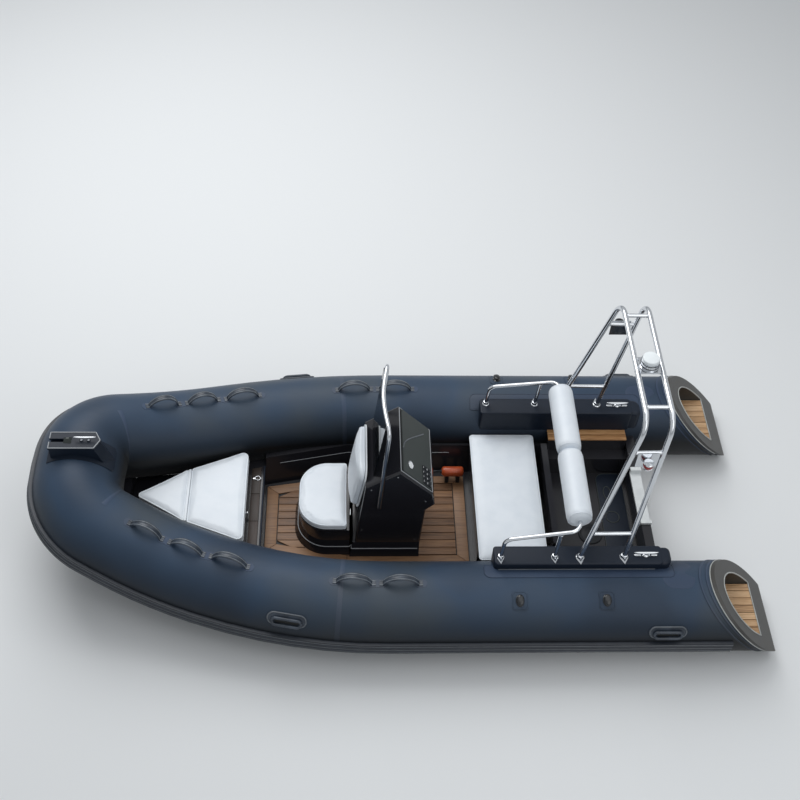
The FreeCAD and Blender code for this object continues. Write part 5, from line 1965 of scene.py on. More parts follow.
@dataclass
class Helm:
    """Trim on the console, the dash and the seat box."""

    dash_top: tuple[float, float] = (-0.024, 0.957)
    dash_low: tuple[float, float] = (-0.232, 0.724)
    dash_half: float = 0.242
    gauge_share: float = 0.283
    gauge_y: float = 0.162
    gauge_r: float = 0.027
    panel_share: float = 0.66
    panel_y: tuple[float, float] = (0.093, 0.233)
    panel_long: float = 0.08
    base_z: float = 0.14
    rim_z: float = 0.2975

    def __post_init__(self) -> None:
        """Works out the dash's own directions."""
        top = Vector((self.dash_top[0], 0.0, self.dash_top[1]))
        low = Vector((self.dash_low[0], 0.0, self.dash_low[1]))
        self.down = (low - top).normalized()
        self.length = (low - top).length
        self.out = PORT.cross(self.down)
        self.top = top
        self.surface = solid_tree("dash_panel", "console")

    def on_dash(self, share: float, y: float, lift: float = 0.0) -> Vector:
        """A point on the dash, at a share of its length, a place across it and a lift.

        Args:
            share: Share of the dash's length, from its top.
            y: Place across it.
            lift: Height above it.

        Returns:
            The point.
        """
        start = self.top + self.down * (share * self.length) + PORT * y
        spot = self.surface.ray_cast(start + self.out * 0.1, -self.out)[0]
        return (spot or start) + self.out * lift

    def place(self, share: float, y: float) -> Matrix:
        """A frame on the dash: x down it, y to starboard, z out of it."""
        turn = Matrix((self.down, -PORT, self.out)).transposed().to_4x4()
        return Matrix.Translation(self.on_dash(share, y)) @ turn

    def build(self) -> None:
        """Builds the beads, the gauge, the switches and the screws."""
        self.build_beads()
        self.build_gauge()
        self.build_switches()
        self.build_screws()

    def build_beads(self) -> None:
        """Pale beads round the dash, along the plinth and under the seat's lid, painting the edges'
        highlights.
        """
        bm = bmesh.new()
        edge = self.dash_half + 0.004
        corners = [(0.01, -edge), (0.01, edge), (0.985, edge), (0.985, -edge)]
        ring = [self.on_dash(a, y, 0.0008) for a, y in corners]
        line = divided(ring + [ring[0]], 0.05)[:-1]
        add_loop(bm, line, 0.003, 8)
        plinth = solid_tree("console", "jockey_box")
        line = girdle(plinth, (0.15, 0.0), self.base_z, (-138.0, 138.0), rays=220)
        add_cord(bm, thinned(line, 0.004), 0.0034, 8)
        seat = solid_tree("jockey_box")
        line = girdle(seat, (0.4, 0.0), self.rim_z, (-112.0, 112.0), rays=160)
        add_cord(bm, thinned(line, 0.004), 0.0024, 8)
        finished("helm_beads", bm, HIGHLIGHT_BEAD, "grey_plastic", 50.0)
        # A pale cord along the dash's crease paints its highlight.
        crease = bmesh.new()
        points = [(0.07, 0.064), (0.09, 0.034), (0.14, 0.004), (0.24, -0.03), (0.4, -0.074)]
        points += [(0.57, -0.117), (0.74, -0.161)]
        add_cord(crease, [self.on_dash(a, y, 0.0016) for a, y in points], 0.0038, 8)
        finished("dash_crease", crease, CREST_HIGHLIGHT_RUBBER, "black_satin", 50.0)

    def build_gauge(self) -> None:
        """An oval bezel round a blank face."""
        bm, face = bmesh.new(), bmesh.new()
        here = self.place(self.gauge_share, self.gauge_y)
        long, wide = 2.0 * self.gauge_r, 1.5 * self.gauge_r
        oval = stadium(wide, long, 40)
        line = [here @ Vector((0.96 * u, 0.96 * v, 0.003)) for u, v in oval]
        add_loop(bm, line, 0.003, 10)
        rings = []
        for share, z in ((0.94, 0.0), (0.94, 0.003), (0.6, 0.0042), (0.25, 0.0046)):
            rings.append([here @ Vector((share * u, share * v, z)) for u, v in oval])
        add_skin(face, rings)
        finished("gauge_bezel", bm, STEEL, "stainless", 60.0)
        finished("gauge_face", face, WHITE_PVC, "white_plastic", 60.0)

    def build_switches(self) -> None:
        """The switch panel with two rows of rockers and a white tick beside each."""
        plate, ticks = bmesh.new(), bmesh.new()
        y0, y1 = self.panel_y
        middle = (y0 + y1) / 2.0
        here = self.place(self.panel_share + self.panel_long / 2.0 / self.length, middle)
        long, wide = self.panel_long, y1 - y0
        plan = round_plan(oblong(-long / 2, long / 2, -wide / 2, wide / 2), [0.006] * 4)
        outline = flat(plan)
        own = bmesh.new()
        add_slab(own, outline, 0.0, 0.0045, 0.0015, 2)
        for row in (0.27, 0.73):
            for i in range(4):
                x = long * (row - 0.5)
                y = wide * ((i + 0.5) / 4.0 - 0.5)
                self.add_rocker(own, x, y)
                for dx in (-0.0155, 0.0155):
                    low = (x + dx - 0.0014, y - 0.006, 0.0045)
                    add_block(ticks, low, (x + dx + 0.0014, y + 0.006, 0.0052), place=here)
        bmesh.ops.transform(own, matrix=here, verts=own.verts)
        merge(plate, own)
        finished("switch_panel", plate, BLACK_ABS, "black_satin", 30.0, "dash_instruments")
        finished("switch_legends", ticks, WHITE_PVC, "white_plastic", 30.0)

    def add_rocker(self, bm: BMesh, x: float, y: float) -> None:
        """Adds one rocker switch: a frame and a cap that dips in its middle.

        Args:
            bm: The bmesh to add to.
            x: Its middle down the panel.
            y: Its middle across the panel.
        """
        add_block(bm, (x - 0.012, y - 0.01, 0.003), (x + 0.012, y + 0.01, 0.006), 0.001, segments=2)
        rings = []
        for side in (-0.0075, 0.0075):
            ring = []
            for k in range(9):
                share = -1.0 + k / 4.0
                ring.append(Vector((x + share * 0.0098, y + side, 0.0065 + 0.003 * share * share)))
            ring += [Vector((x + 0.0098, y + side, 0.005)), Vector((x - 0.0098, y + side, 0.005))]
            rings.append(ring)
        add_skin(bm, rings)

    def build_screws(self) -> None:
        """Small domed screws on the console's sides."""
        bm = bmesh.new()
        sides = solid_tree("console")
        dome = [(0.0045, 0.0), (0.0042, 0.0012), (0.0026, 0.0022), (0.0, 0.0026)]
        for x, z in ((-0.01, 0.905), (0.15, 0.77), (0.205, 0.33), (-0.19, 0.65), (-0.14, 0.22)):
            spot, normal, _, _ = sides.ray_cast(Vector((x, 0.8, z)), -PORT)
            if spot is not None:
                lathe(bm, dome, spot, normal, 16)
        mirror_port(bm)
        finished("console_screws", bm, STEEL, "stainless", 40.0)


@dataclass
class CockpitFittings:
    """Small things in the cockpit and the stern well."""

    wall_z: float = 0.215
    wall_sector: tuple[float, float] = (33.0, 143.0)
    trim: tuple[float, float, float] = (0.8645, 0.345, 0.199)
    bottle_x: tuple[float, float] = (-0.5, -0.35)
    bottle_y: float = -0.322
    bottle_z: float = 0.1733
    bottle_r: float = 0.035
    rod_x: float = -0.29
    hatch: tuple[float, float, float] = (-1.33, 0.15, 0.1103)
    hatch_r: float = 0.082

    def build(self) -> None:
        """Builds the wall bead, the bottle, the bow locker's gear and the well's lids."""
        self.build_bead()
        self.build_bottle()
        self.build_locker_gear()
        self.build_well()

    def build_bead(self) -> None:
        """The pale bead along each side of the liner, a painted highlight of its edge, and the dark trim
        ahead of the sole.
        """
        bm = bmesh.new()
        liner = solid_tree("deck_moulding")
        line = girdle(liner, (0.2, 0.0), self.wall_z, self.wall_sector, inside=True, rays=110)
        add_cord(bm, thinned(line, 0.006), 0.0022, 8)
        mirror_port(bm)
        finished("liner_beads", bm, HIGHLIGHT_BEAD, "grey_plastic", 50.0)
        bm = bmesh.new()
        x, half, z = self.trim
        add_cord(bm, [Vector((x, y, z)) for y in (-half, half)], 0.0065, 16)
        finished("tread_edge_trim", bm, SIDE_ABS, "black_satin", 50.0)

    def build_bottle(self) -> None:
        """The fire bottle with its dark valve and lever."""
        x0, x1 = self.bottle_x
        r, length = self.bottle_r, x1 - x0
        body = [(0.0, 0.0), (r * 0.6, 0.0), (r * 0.85, 0.004), (r, 0.014), (r, length - 0.02)]
        body += [(r * 0.9, length - 0.008), (r * 0.6, length), (0.0, length)]
        foot = Vector((x0, self.bottle_y, self.bottle_z))
        bm = bmesh.new()
        lathe(bm, body, foot, FORWARD, 48)
        finished("fire_bottle_body", bm, ORANGE_ENAMEL, "orange_paint", 40.0, "fire_bottle")
        bm = bmesh.new()
        rod = self.rod_x - x1
        valve = [(0.013, 0.0), (0.013, 0.01), (0.007, 0.014), (0.007, rod - 0.016), (0.01, rod - 0.013)]
        valve += [(0.01, rod - 0.002), (0.0, rod)]
        lathe(bm, valve, Vector((x1 - 0.001, self.bottle_y, self.bottle_z)), FORWARD, 28)
        low = (x1 + 0.012, self.bottle_y - 0.004, self.bottle_z + 0.002)
        add_block(bm, low, (x1 + 0.05, self.bottle_y + 0.004, self.bottle_z + 0.01), 0.002)
        finished("fire_bottle_valve", bm, BLACK_ABS, "black_satin", 40.0)

    def build_locker_gear(self) -> None:
        """A pull ring on the step and a latch on the face of the bow locker."""
        bm = bmesh.new()
        flat_ring = [Vector((0.905 + u, -0.235 + v, 0.2135)) for u, v in circle(0.02, 32, 0.8)]
        add_loop(bm, flat_ring, 0.0028, 8)
        add_block(bm, (0.918, -0.243, 0.2085), (0.942, -0.227, 0.215), 0.002)
        face = solid_tree("bow_locker", "bow_fore_panel", "bow_locker_lid")
        spot = face.ray_cast(Vector((0.6, 0.07, 0.245)), FORWARD)[0]
        if spot is not None:
            low, high = Vector((-0.006, -0.012, -0.02)), Vector((0.001, 0.012, 0.02))
            add_block(bm, spot + low, spot + high, 0.002)
            knob = [(0.007, 0.0), (0.007, 0.012), (0.011, 0.014), (0.011, 0.02), (0.0, 0.022)]
            lathe(bm, knob, spot, -FORWARD, 24)
        finished("locker_rings", bm, STEEL, "stainless", 50.0)

    def build_well(self) -> None:
        """The round hatch's ring and pull, and the lid beside it."""
        bm = bmesh.new()
        x, y, z = self.hatch
        r = self.hatch_r
        ring = [(r, 0.0), (r, 0.004), (r - 0.004, 0.0075), (r - 0.014, 0.0075), (r - 0.017, 0.0045)]
        ring += [(r - 0.03, 0.0045), (r - 0.033, 0.0065), (0.0, 0.0065)]
        lathe(bm, ring, Vector((x, y, z)), UP, 56)
        add_block(bm, (x - 0.006, y - 0.034, z + 0.006), (x + 0.006, y + 0.034, z + 0.0098), 0.002)
        finished("hatch_lid", bm, BLACK_ABS, "black_satin", 35.0, "well_hatch")
        self.build_well_lid(z)

    def build_well_lid(self, z: float) -> None:
        """The low moulded lid beside the transom, with a finger recess and a round plug.

        Args:
            z: Height of the well's sole.
        """
        bm = bmesh.new()
        aft, fore, half = -1.606, -1.424, 0.345
        outline = flat(round_plan(oblong(aft, fore, -half, half), [0.03, 0.06, 0.06, 0.03]))
        add_slab(bm, outline, z, z + 0.007, 0.003, 3)
        finished("well_lid", bm, SIDE_ABS, "black_satin", 35.0)
        bm = bmesh.new()
        edge = raised(inwards(outline, 0.002), z + 0.0065)
        add_loop(bm, edge, 0.0022, 8)
        for x, y, long, wide in ((-1.49, -0.18, 0.05, 0.105), (-1.5, 0.02, 0.09, 0.09)):
            ring = [Vector((x + u, y + v, z + 0.008)) for u, v in stadium(long, wide, 36)]
            add_loop(bm, ring, 0.0034, 8)
        finished("well_lid_beads", bm, DASH_ABS, "grey_plastic", 50.0)


@dataclass
class Rails:
    """The bent stainless rails: windscreen hoop, backrest rail and stern arch."""

    inner: float = 0.49
    deck: float = 0.5563
    rail_r: float = 0.0125
    arch_r: float = 0.016
    rung_r: float = 0.012
    light_y: float = 0.05

    def build(self) -> None:
        """Builds the three rails."""
        self.build_hoop()
        self.build_backrest()
        self.build_arch()

    def add_bar(
        self, bm: BMesh, points: Sequence[Sequence[float]], radii: Sequence[float], radius: float
    ) -> None:
        """Adds one round bar through points, with a bend radius at each inner one.

        Args:
            bm: The bmesh to add to.
            points: Its corners.
            radii: A bend radius for each inner corner.
            radius: Its own radius.
        """
        line = rounded([Vector(p) for p in points], radii, 5.0)
        add_cord(bm, line, radius, 24)

    def add_flange(self, bm: BMesh, x: float, y: float, tube: float) -> None:
        """Adds a teardrop base, its point outboard, and the socket that the rail stands in.

        Args:
            bm: The bmesh to add to.
            x: Its middle along the boat.
            y: Its middle across the boat.
            tube: The rail's radius.
        """
        side = 1.0 if y > 0.0 else -1.0
        r, reach = tube + 0.011, tube + 0.038
        flare = math.acos(r / reach)
        outline = []
        count = 26
        for k in range(count + 1):
            angle = flare + (2.0 * math.pi - 2.0 * flare) * k / count
            outline.append((r * math.sin(angle), r * math.cos(angle)))
        outline.append((0.0, reach))
        levels = ((1.0, 0.0), (1.0, 0.0025), (0.94, 0.0045), (0.7, 0.0075), (0.52, 0.018))
        rings = []
        for s, h in levels:
            rings.append([Vector((x + s * u, y + side * s * v, self.deck + h)) for u, v in outline])
        add_skin(bm, rings)
        profile = [(tube + 0.005, 0.0), (tube + 0.005, 0.02), (tube + 0.003, 0.024), (tube - 0.001, 0.025)]
        lathe(bm, profile, Vector((x, y, self.deck + 0.002)), UP, 28)

    def add_weld(self, bm: BMesh, at: Vector, along: Vector, radius: float) -> None:
        """Adds the small bead where one bar is welded to another.

        Args:
            bm: The bmesh to add to.
            at: Its middle.
            along: The bar's direction.
            radius: The bar's radius.
        """
        profile = [(radius - 0.002, -0.004), (radius + 0.0018, -0.002), (radius + 0.0018, 0.001)]
        profile.append((radius - 0.002, 0.004))
        lathe(bm, profile, at, along, 24)

    def build_hoop(self) -> None:
        """The windscreen's hoop, its legs against the console's sides."""
        y = 0.2748
        bm = bmesh.new()
        points = [(0.099, y, 0.604), (0.054, y, 1.354), (0.096, 0.0, 1.354)]
        points += [(0.054, -y, 1.354), (0.099, -y, 0.604)]
        self.add_bar(bm, points, [0.058, 0.9, 0.058], self.rail_r)
        for side in SIDES:
            for share in (0.03, 0.26):
                at = Vector(points[0]).lerp(Vector(points[1]), share)
                at.y *= side
                foot = at - PORT * side * (self.rail_r * 0.9)
                lathe(bm, [(0.0, 0.0), (0.011, 0.0), (0.011, 0.004), (0.0, 0.004)], foot, -PORT * side)
            end = Vector(points[0])
            end.y *= side
            cap = [(self.rail_r, 0.0), (self.rail_r * 0.92, 0.003), (self.rail_r * 0.6, 0.006)]
            cap.append((0.0, 0.0075))
            lathe(bm, [(0.0, -0.001)] + cap, end, Vector((0.06, 0.0, -1.0)), 24)
        finished("windscreen_hoop", bm, STEEL, "stainless", 38.0, "windscreen_rail")

    def build_backrest(self) -> None:
        """The rail that carries the rolls, with its rear legs and flanges."""
        bm = bmesh.new()
        front, rear = (-0.64, self.inner + 0.122), (-0.973, self.inner + 0.12)
        top = (-0.652, self.inner + 0.114, 0.742)
        turn = (-1.102, self.inner + 0.1, 0.814)
        foot = self.deck + 0.006
        half = [front + (foot,), top, turn]
        points = half + [(x, -y, z) for x, y, z in reversed(half)]
        self.add_bar(bm, points, [0.06, 0.062, 0.062, 0.06], self.rail_r)
        joint = Vector(top).lerp(Vector(turn), 0.74)
        for side in SIDES:
            leg = [Vector((rear[0], side * rear[1], foot)), Vector((joint.x, side * joint.y, joint.z))]
            add_cord(bm, leg, self.rail_r, 24)
            run = (leg[1] - leg[0]).normalized()
            self.add_weld(bm, leg[1] - run * (self.rail_r + 0.002), run, self.rail_r)
            for x, y in (front, rear):
                self.add_flange(bm, x, side * y, self.rail_r)
        finished("backrest_bars", bm, STEEL, "stainless", 38.0, "backrest_rail")

    def build_arch(self) -> None:
        """The stern arch: two hoops and the rungs that join them."""
        bm = bmesh.new()
        hoops = (
            (-1.13, self.inner + 0.122, -1.345, self.inner - 0.02, 1.69),
            (-1.402, self.inner + 0.12, -1.492, self.inner - 0.024, 1.69),
        )
        foot = self.deck + 0.006
        legs = []
        for fx, fy, tx, ty, tz in hoops:
            points = [(fx, fy, foot), (tx, ty, tz), (tx, -ty, tz), (fx, -fy, foot)]
            self.add_bar(bm, points, [0.12, 0.12], self.arch_r)
            legs.append((Vector(points[0]), Vector(points[1])))
            self.add_flange(bm, fx, fy, self.arch_r)
            self.add_flange(bm, fx, -fy, self.arch_r)
        for share in (0.19, 0.8):
            a, b = (leg[0].lerp(leg[1], share) for leg in legs)
            for side in SIDES:
                ends = [Vector((p.x, side * p.y, p.z)) for p in (a, b)]
                self.add_rung(bm, ends, self.rung_r)
        fore, aft = legs[0][1], legs[1][1]
        rungs = [(y, self.rung_r) for y in (-0.352, 0.352)]
        rungs += [(self.light_y + d, 0.007) for d in (-0.05, 0.05)]
        for y, r in rungs:
            self.add_rung(bm, [Vector((p.x, y, p.z)) for p in (fore, aft)], r)
        finished("arch_bars", bm, STEEL, "stainless", 38.0, "arch")

    def add_rung(self, bm: BMesh, ends: Sequence[Vector], radius: float) -> None:
        """Adds a straight rung between two hoops with a weld bead at each end.

        Args:
            bm: The bmesh to add to.
            ends: Where it meets the two hoops.
            radius: Its radius.
        """
        run = (ends[1] - ends[0]).normalized()
        add_cord(bm, list(ends), radius, 20)
        self.add_weld(bm, ends[0] + run * (self.arch_r + 0.001), -run, radius)
        self.add_weld(bm, ends[1] - run * (self.arch_r + 0.001), run, radius)


# Cushions


@dataclass
class Cushion:
    """A stuffed cushion: a closed form puffed by a cloth simulation, then piped."""

    name: str
    node: str
    body: Body = Body.BOAT
    voxel: float = 0.007
    cap: float = 0.009
    pressure: float = 4.0
    fill: float = 0.8
    piping: float = 0.0028

    def puff(self, bm: BMesh, pinned: Callable[[Vector], float]) -> bpy.types.Object:
        """Simulates the swelling of a closed form and keeps a capped share of it.

        Args:
            bm: The closed form, freed afterwards.
            pinned: Share of the swelling that a point takes, from 0 to 1.

        Returns:
            The object, not yet riding on a body.
        """
        bmesh.ops.recalc_face_normals(bm, faces=bm.faces)
        mesh = bpy.data.meshes.new(self.name)
        bm.to_mesh(mesh)
        bm.free()
        piece = bpy.data.objects.new(self.name, mesh)
        bpy.context.scene.collection.objects.link(piece)
        remesh = piece.modifiers.new("voxels", "REMESH")
        remesh.mode = "VOXEL"
        remesh.voxel_size = self.voxel
        self.bake(piece)
        self.simulate(piece, pinned)
        smooth = piece.modifiers.new("even", "SMOOTH")
        smooth.factor = 0.5
        smooth.iterations = 4
        finer = piece.modifiers.new("finer", "SUBSURF")
        finer.levels = finer.render_levels = 1
        self.bake(piece)
        for polygon in piece.data.polygons:
            polygon.use_smooth = True
        return piece

    def bake(self, piece: bpy.types.Object) -> None:
        """Applies every modifier of a piece to its mesh.

        Args:
            piece: The piece.
        """
        graph = bpy.context.evaluated_depsgraph_get()
        graph.update()
        mesh = bpy.data.meshes.new_from_object(piece.evaluated_get(graph))
        old = piece.data
        piece.modifiers.clear()
        piece.data = mesh
        bpy.data.meshes.remove(old)

    def simulate(self, piece: bpy.types.Object, pinned: Callable[[Vector], float]) -> None:
        """Runs the cloth and moves each point by a capped, weighted share.

        Args:
            piece: The piece.
            pinned: Share of the swelling that a point takes, from 0 to 1.
        """
        rest = np.array([v.co[:] for v in piece.data.vertices])
        cloth = piece.modifiers.new("swell", "CLOTH")
        cloth.settings.use_pressure = True
        cloth.settings.uniform_pressure_force = self.pressure
        cloth.settings.effector_weights.gravity = 0.0
        cloth.settings.quality = 4
        cloth.settings.mass = 0.3
        cloth.point_cache.frame_start = 1
        cloth.point_cache.frame_end = 20
        for number in range(1, 21):
            bpy.context.scene.frame_set(number)
        graph = bpy.context.evaluated_depsgraph_get()
        moved = piece.evaluated_get(graph).to_mesh()
        swollen = np.array([v.co[:] for v in moved.vertices])
        piece.evaluated_get(graph).to_mesh_clear()
        piece.modifiers.clear()
        shift = swollen - rest
        length = np.maximum(np.linalg.norm(shift, axis=1), 1e-9)
        capped = self.cap * np.tanh(length / self.cap)
        share = np.array([pinned(Vector(p)) for p in rest])
        placed = rest + shift * (capped * share / length)[:, None]
        piece.data.vertices.foreach_set("co", placed.astype(np.float32).ravel())
        bpy.context.scene.frame_set(1)

    def adopt(self, piece: bpy.types.Object) -> None:
        """Gives a puffed piece its finish and body, and hides the CAD node it stands for.

        Args:
            piece: The piece.
        """
        piece.data.materials.append(VINYL.material())
        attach(piece, self.body.value)
        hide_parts(self.node)
        LOG.info("%s: %d faces", self.name, len(piece.data.polygons))

    def pipe(self, piece: bpy.types.Object, routes: Sequence[Ring]) -> None:
        """Lays a welt along closed routes, drawn down onto the cushion's skin.

        Args:
            piece: The puffed cushion.
            routes: Closed routes near its edges.
        """
        graph = bpy.context.evaluated_depsgraph_get()
        tree = BVHTree.FromObject(piece, graph)
        bm = bmesh.new()
        for route in routes:
            line = []
            for point in divided(route + [route[0]], 0.012)[:-1]:
                spot, normal, _, _ = tree.find_nearest(point)
                line.append(spot + normal * self.piping * 0.35)
            add_loop(bm, line, self.piping, 10)
        finished(self.name + "_piping", bm, PIPING, "white_vinyl", 80.0, body=self.body)


def flat_cushion_form(
    outline: Plan,
    low: float,
    high: float,
    inset: float,
    edge: float,
    widen: Callable[[float], float] = lambda share: 0.0,
) -> BMesh:
    """The closed form of a flat cushion before it swells.

    Args:
        outline: Its plan, counterclockwise.
        low: Height of its underside.
        high: Height of its top.
        inset: How far the form lies inside the outline.
        edge: Radius of its upper and lower edges.
        widen: Extra inset at a share of the height, for sides that lean.

    Returns:
        The form.
    """
    points = flat(outline)
    rings = []
    steps = 5
    for part in (0, 1):
        for k in range(steps + 1):
            angle = math.pi / 2.0 * k / steps
            if part == 0:
                z = low + edge - edge * math.cos(angle)
                draw = inset + edge - edge * math.sin(angle)
            else:
                z = high - edge + edge * math.sin(angle)
                draw = inset + edge - edge * math.cos(angle)
            rings.append(raised(inwards(points, draw + widen((z - low) / (high - low))), z))
    bm = bmesh.new()
    add_skin(bm, rings)
    return bm


def edge_distance(point: Vector, outline: Plan) -> float:
    """Distance in plan from a point to an outline.

    Args:
        point: The point.
        outline: The outline.

    Returns:
        The distance in metres.
    """
    nearest = 1e9
    for (ax, ay), (bx, by) in zip(outline, list(outline[1:]) + [outline[0]]):
        dx, dy = bx - ax, by - ay
        length = dx * dx + dy * dy
        if length < 1e-12:
            continue
        share = min(1.0, max(0.0, ((point.x - ax) * dx + (point.y - ay) * dy) / length))
        nearest = min(nearest, math.hypot(point.x - ax - share * dx, point.y - ay - share * dy))
    return nearest


def eased(value: float) -> float:
    """A smooth step from 0 to 1."""
    share = min(1.0, max(0.0, value))
    return share * share * (3.0 - 2.0 * share)


@dataclass
class FlatCushion(Cushion):
    """A cushion that lies flat, with a welt round its upper and lower edge."""

    outline: Plan = ()
    low: float = 0.0
    high: float = 0.1
    edge: float = 0.018
    inset: float = 0.003
    crown: float = 0.045
    lean: float = 0.0
    thin: float = 0.0
    place: Matrix | None = None

    def build(self) -> bpy.types.Object:
        """Builds the puffed cushion and its welts.

        Returns:
            The cushion.
        """
        form = flat_cushion_form(
            self.outline,
            self.low + 0.001,
            self.high - 0.004,
            self.inset,
            self.edge,
            lambda share: self.lean * (1.0 - share),
        )

        def pinned(point: Vector) -> float:
            """Share of the swelling: none at the foot, less at the rim.

            Args:
                point: A point of the cushion.

            Returns:
                The share from 0 to 1.
            """
            rise = eased((point.z - self.low) / (0.35 * (self.high - self.low)))
            away = edge_distance(point, self.outline)
            side = 0.45 + 0.55 * eased(away / self.crown)
            return rise * side

        piece = self.puff(form, pinned)
        if self.thin > 0.0:
            self.curve(piece)
        if self.place is not None:
            piece.data.transform(self.place)
        self.adopt(piece)
        self.pipe(piece, self.welts())
        return piece

    def curve(self, piece: bpy.types.Object) -> None:
        """Thins the cushion towards both sides, so that its face bulges in the middle.

        Args:
            piece: The puffed cushion.
        """
        widest = max(abs(y) for _, y in self.outline)
        for vert in piece.data.vertices:
            share = min(1.0, abs(vert.co.y) / widest)
            vert.co.z *= 1.0 - self.thin * share * share

    def welts(self) -> list[Ring]:
        """The routes of the upper and lower welt.

        Returns:
            Two closed routes.
        """
        routes = []
        draw = self.inset + 0.3 * self.edge
        upper = (self.high - 0.3 * self.edge - 0.004, 0.0)
        for z, extra in (upper, (self.low + 0.3 * self.edge, self.lean)):
            form = flat_cushion_form(self.outline, 0.0, 0.1, draw + extra, 0.0001)
            form.verts.ensure_lookup_table()
            ring = [v.co.copy() for v in form.verts[: len(self.outline)]]
            form.free()
            for p in ring:
                p.z = z
            if self.place is not None:
                ring = [self.place @ p for p in ring]
            routes.append(ring)
        return routes


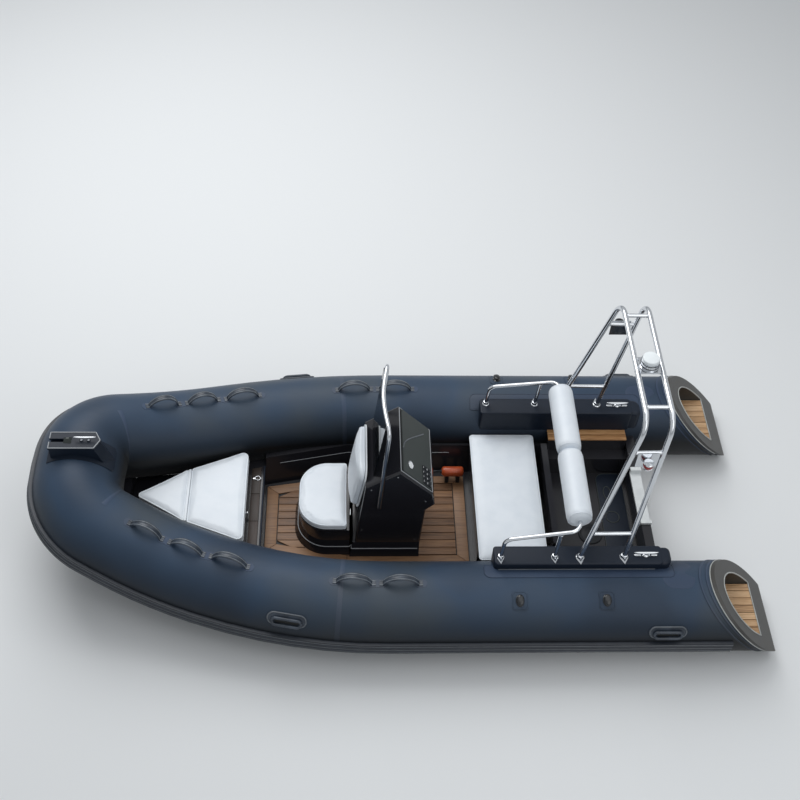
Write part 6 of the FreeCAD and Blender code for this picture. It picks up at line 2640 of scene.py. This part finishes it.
@dataclass
class Upholstery:
    """All the white cushions."""

    bow_top: float = 0.362
    bow_thick: float = 0.062
    bow_aft: float = 0.956
    bow_aft_half: float = 0.37
    bow_seam: float = 1.338
    bow_seam_half: float = 0.215
    bow_tip: float = 1.662
    bow_tip_half: float = 0.016
    seat_aft: float = 0.296
    seat_fore: float = 0.62
    seat_half: float = 0.258
    seat_corner: float = 0.19
    bench_fore: float = -0.524
    bench_aft: float = -0.99
    bench_half: float = 0.515
    bench_lean: float = 0.023
    roll_at: tuple[float, float] = (-1.102, 0.814)
    roll_r: float = 0.084
    roll_ends: tuple[float, float] = (0.005, 0.522)

    def build(self) -> None:
        """Builds every cushion, and the strip in the seam of the bow's two."""
        for cushion in self.flat_cushions():
            cushion.build()
        self.build_rolls()
        bm = bmesh.new()
        low = (self.bow_seam - 0.007, -self.bow_seam_half + 0.012, self.bow_top - self.bow_thick + 0.004)
        high = (self.bow_seam + 0.009, self.bow_seam_half - 0.012, self.bow_top - 0.0045)
        add_block(bm, low, high, 0.0015)
        finished("bow_seam_strip", bm, PIPING, "white_vinyl", 38.0)

    def flat_cushions(self) -> list[FlatCushion]:
        """The flat cushions with their outlines.

        Returns:
            The five cushions, not yet built.
        """
        low = self.bow_top - self.bow_thick
        ah, sh, th = self.bow_aft_half, self.bow_seam_half, self.bow_tip_half
        seam_aft, seam_fore = self.bow_seam - 0.003, self.bow_seam + 0.003
        corners = [(self.bow_aft, -ah), (seam_aft, -sh), (seam_aft, sh), (self.bow_aft, ah)]
        aft = round_plan(corners, [0.04, 0.012, 0.012, 0.04])
        corners = [(seam_fore, -sh), (self.bow_tip, -th), (self.bow_tip, th), (seam_fore, sh)]
        fore = round_plan(corners, [0.012, 0.015, 0.015, 0.012])
        h, r = self.seat_half, self.seat_corner
        seat = round_plan(oblong(self.seat_aft, self.seat_fore, -h, h), [0.022, r, r, 0.022], 8.0)
        b = self.bench_half
        bench = round_plan(oblong(self.bench_aft, self.bench_fore, -b, b), [0.03] * 4)
        back = round_plan(oblong(0.0, 0.373, -0.212, 0.212), [0.07] * 4)
        rise = Vector((0.236 - 0.296, 0.0, 0.868 - 0.5)).normalized()
        front = PORT.cross(rise)
        turn = Matrix((rise, -PORT, front)).transposed().to_4x4()
        slope = Matrix.Translation(Vector((0.296, 0.0, 0.5)) - front * 0.052) @ turn
        bow = {"low": low, "high": self.bow_top, "piping": 0.0042}
        seat_sizes = {"low": 0.3184, "high": 0.3744, "voxel": 0.006, "edge": 0.02}
        bench_sizes = {"low": 0.3, "high": 0.364, "voxel": 0.008, "edge": 0.02, "lean": self.bench_lean}
        back_sizes = {"low": 0.0, "high": 0.052, "voxel": 0.006, "cap": 0.012, "thin": 0.45}
        seat_names = ("jockey_seat_pad", "jockey_cushion", Body.SEAT_LID)
        back_names = ("seat_back_cushion", "seat_back_pad")
        return [
            FlatCushion("bow_cushion_aft_pad", "bow_cushion_aft", Body.BOW_LID, outline=aft, **bow),
            FlatCushion("bow_cushion_fore_pad", "bow_cushion_fore", outline=fore, voxel=0.006, **bow),
            FlatCushion(*seat_names, outline=seat, **seat_sizes),
            FlatCushion("bench_pad", "bench_cushion", outline=bench, **bench_sizes),
            FlatCushion(*back_names, outline=back, place=slope, **back_sizes),
        ]

    def build_rolls(self) -> None:
        """The two stuffed rolls of the backrest."""
        x, z = self.roll_at
        y0, y1 = self.roll_ends
        roll = Cushion("backrest_roll_pads", "backrest_rolls", voxel=0.007, cap=0.008, fill=0.9)
        r, edge = self.roll_r - 0.004, 0.04
        profile = [(0.016, 0.001)]
        steps = 8
        for k in range(steps + 1):
            angle = math.pi / 2.0 * k / steps
            profile.append((r - edge + edge * math.sin(angle), 0.001 + edge - edge * math.cos(angle)))
        length = y1 - y0
        profile += [(a, length - b) for a, b in reversed(profile)]
        bm = bmesh.new()
        lathe(bm, profile, Vector((x, y0, z)), PORT, 48)
        mirror_port(bm)

        def pinned(point: Vector) -> float:
            """Share of the swelling: less towards the ends."""
            away = min(abs(point.y) - y0, y1 - abs(point.y))
            return eased(away / 0.09)

        piece = roll.puff(bm, pinned)
        roll.adopt(piece)
        routes = []
        for side in SIDES:
            for y in (y0 + 0.012, y1 - 0.012):
                routes.append([Vector((x + u, side * y, z + v)) for u, v in circle(r, 40)])
        roll.pipe(piece, routes)


# Carried-over CAD nodes: name, finish, radius of the edge rounding

DRESSED_NODES: tuple[tuple[str, Finish, float], ...] = (
    ("tube_ends", END_RUBBER, 0.0015),
    ("hull_bottom", BLACK_GELCOAT, 0.0),
    ("deck_moulding", BLACK_GELCOAT, 0.0),
    ("stern_shelves", BLACK_GELCOAT, 0.004),
    ("transom", BLACK_GELCOAT, 0.004),
    ("transom_cap", WHITE_GELCOAT, 0.004),
    ("floor_base", CAULK_AND_SHADE, 0.0),
    ("bow_locker", BLACK_GELCOAT, 0.0),
    ("bow_locker_lid", BLACK_GELCOAT, 0.002),
    ("bow_fore_panel", BLACK_GELCOAT, 0.002),
    ("jockey_box", BLACK_GELCOAT, 0.003),
    ("jockey_lid", BLACK_GELCOAT, 0.003),
    ("jockey_hinges", STEEL, 0.0005),
    ("console", BLACK_GELCOAT, 0.0),
    ("dash_panel", DASH_ABS, 0.001),
    ("seat_back_shell", SHELL_ABS, 0.002),
    ("windscreen", SMOKED, 0.001),
    ("bench_box", BLACK_GELCOAT, 0.004),
    ("bench_panel", BLACK_GELCOAT, 0.006),
    ("light_mounts", STEEL, 0.0008),
    ("motor_pad", BLACK_ABS, 0.003),
    ("bottle_saddles", BLACK_ABS, 0.0015),
    ("stern_eyes", STEEL, 0.001),
)


def main() -> None:
    """Builds the studio and each sub-assembly in order."""
    logging.basicConfig(level=logging.INFO, format="%(message)s")
    Studio().build()
    for node, finish, bevel in DRESSED_NODES:
        dress(node, finish, bevel)
    collar = Collar()
    collar.build()
    Teak().build(collar)
    TubeFittings(collar).build()
    TubeEnds(collar).build()
    SideBoxes(collar).build()
    Rails().build()
    Lights().build()
    DeckHardware().build()
    Helm().build()
    CockpitFittings().build()
    Upholstery().build()


if __name__ == "__main__":
    main()
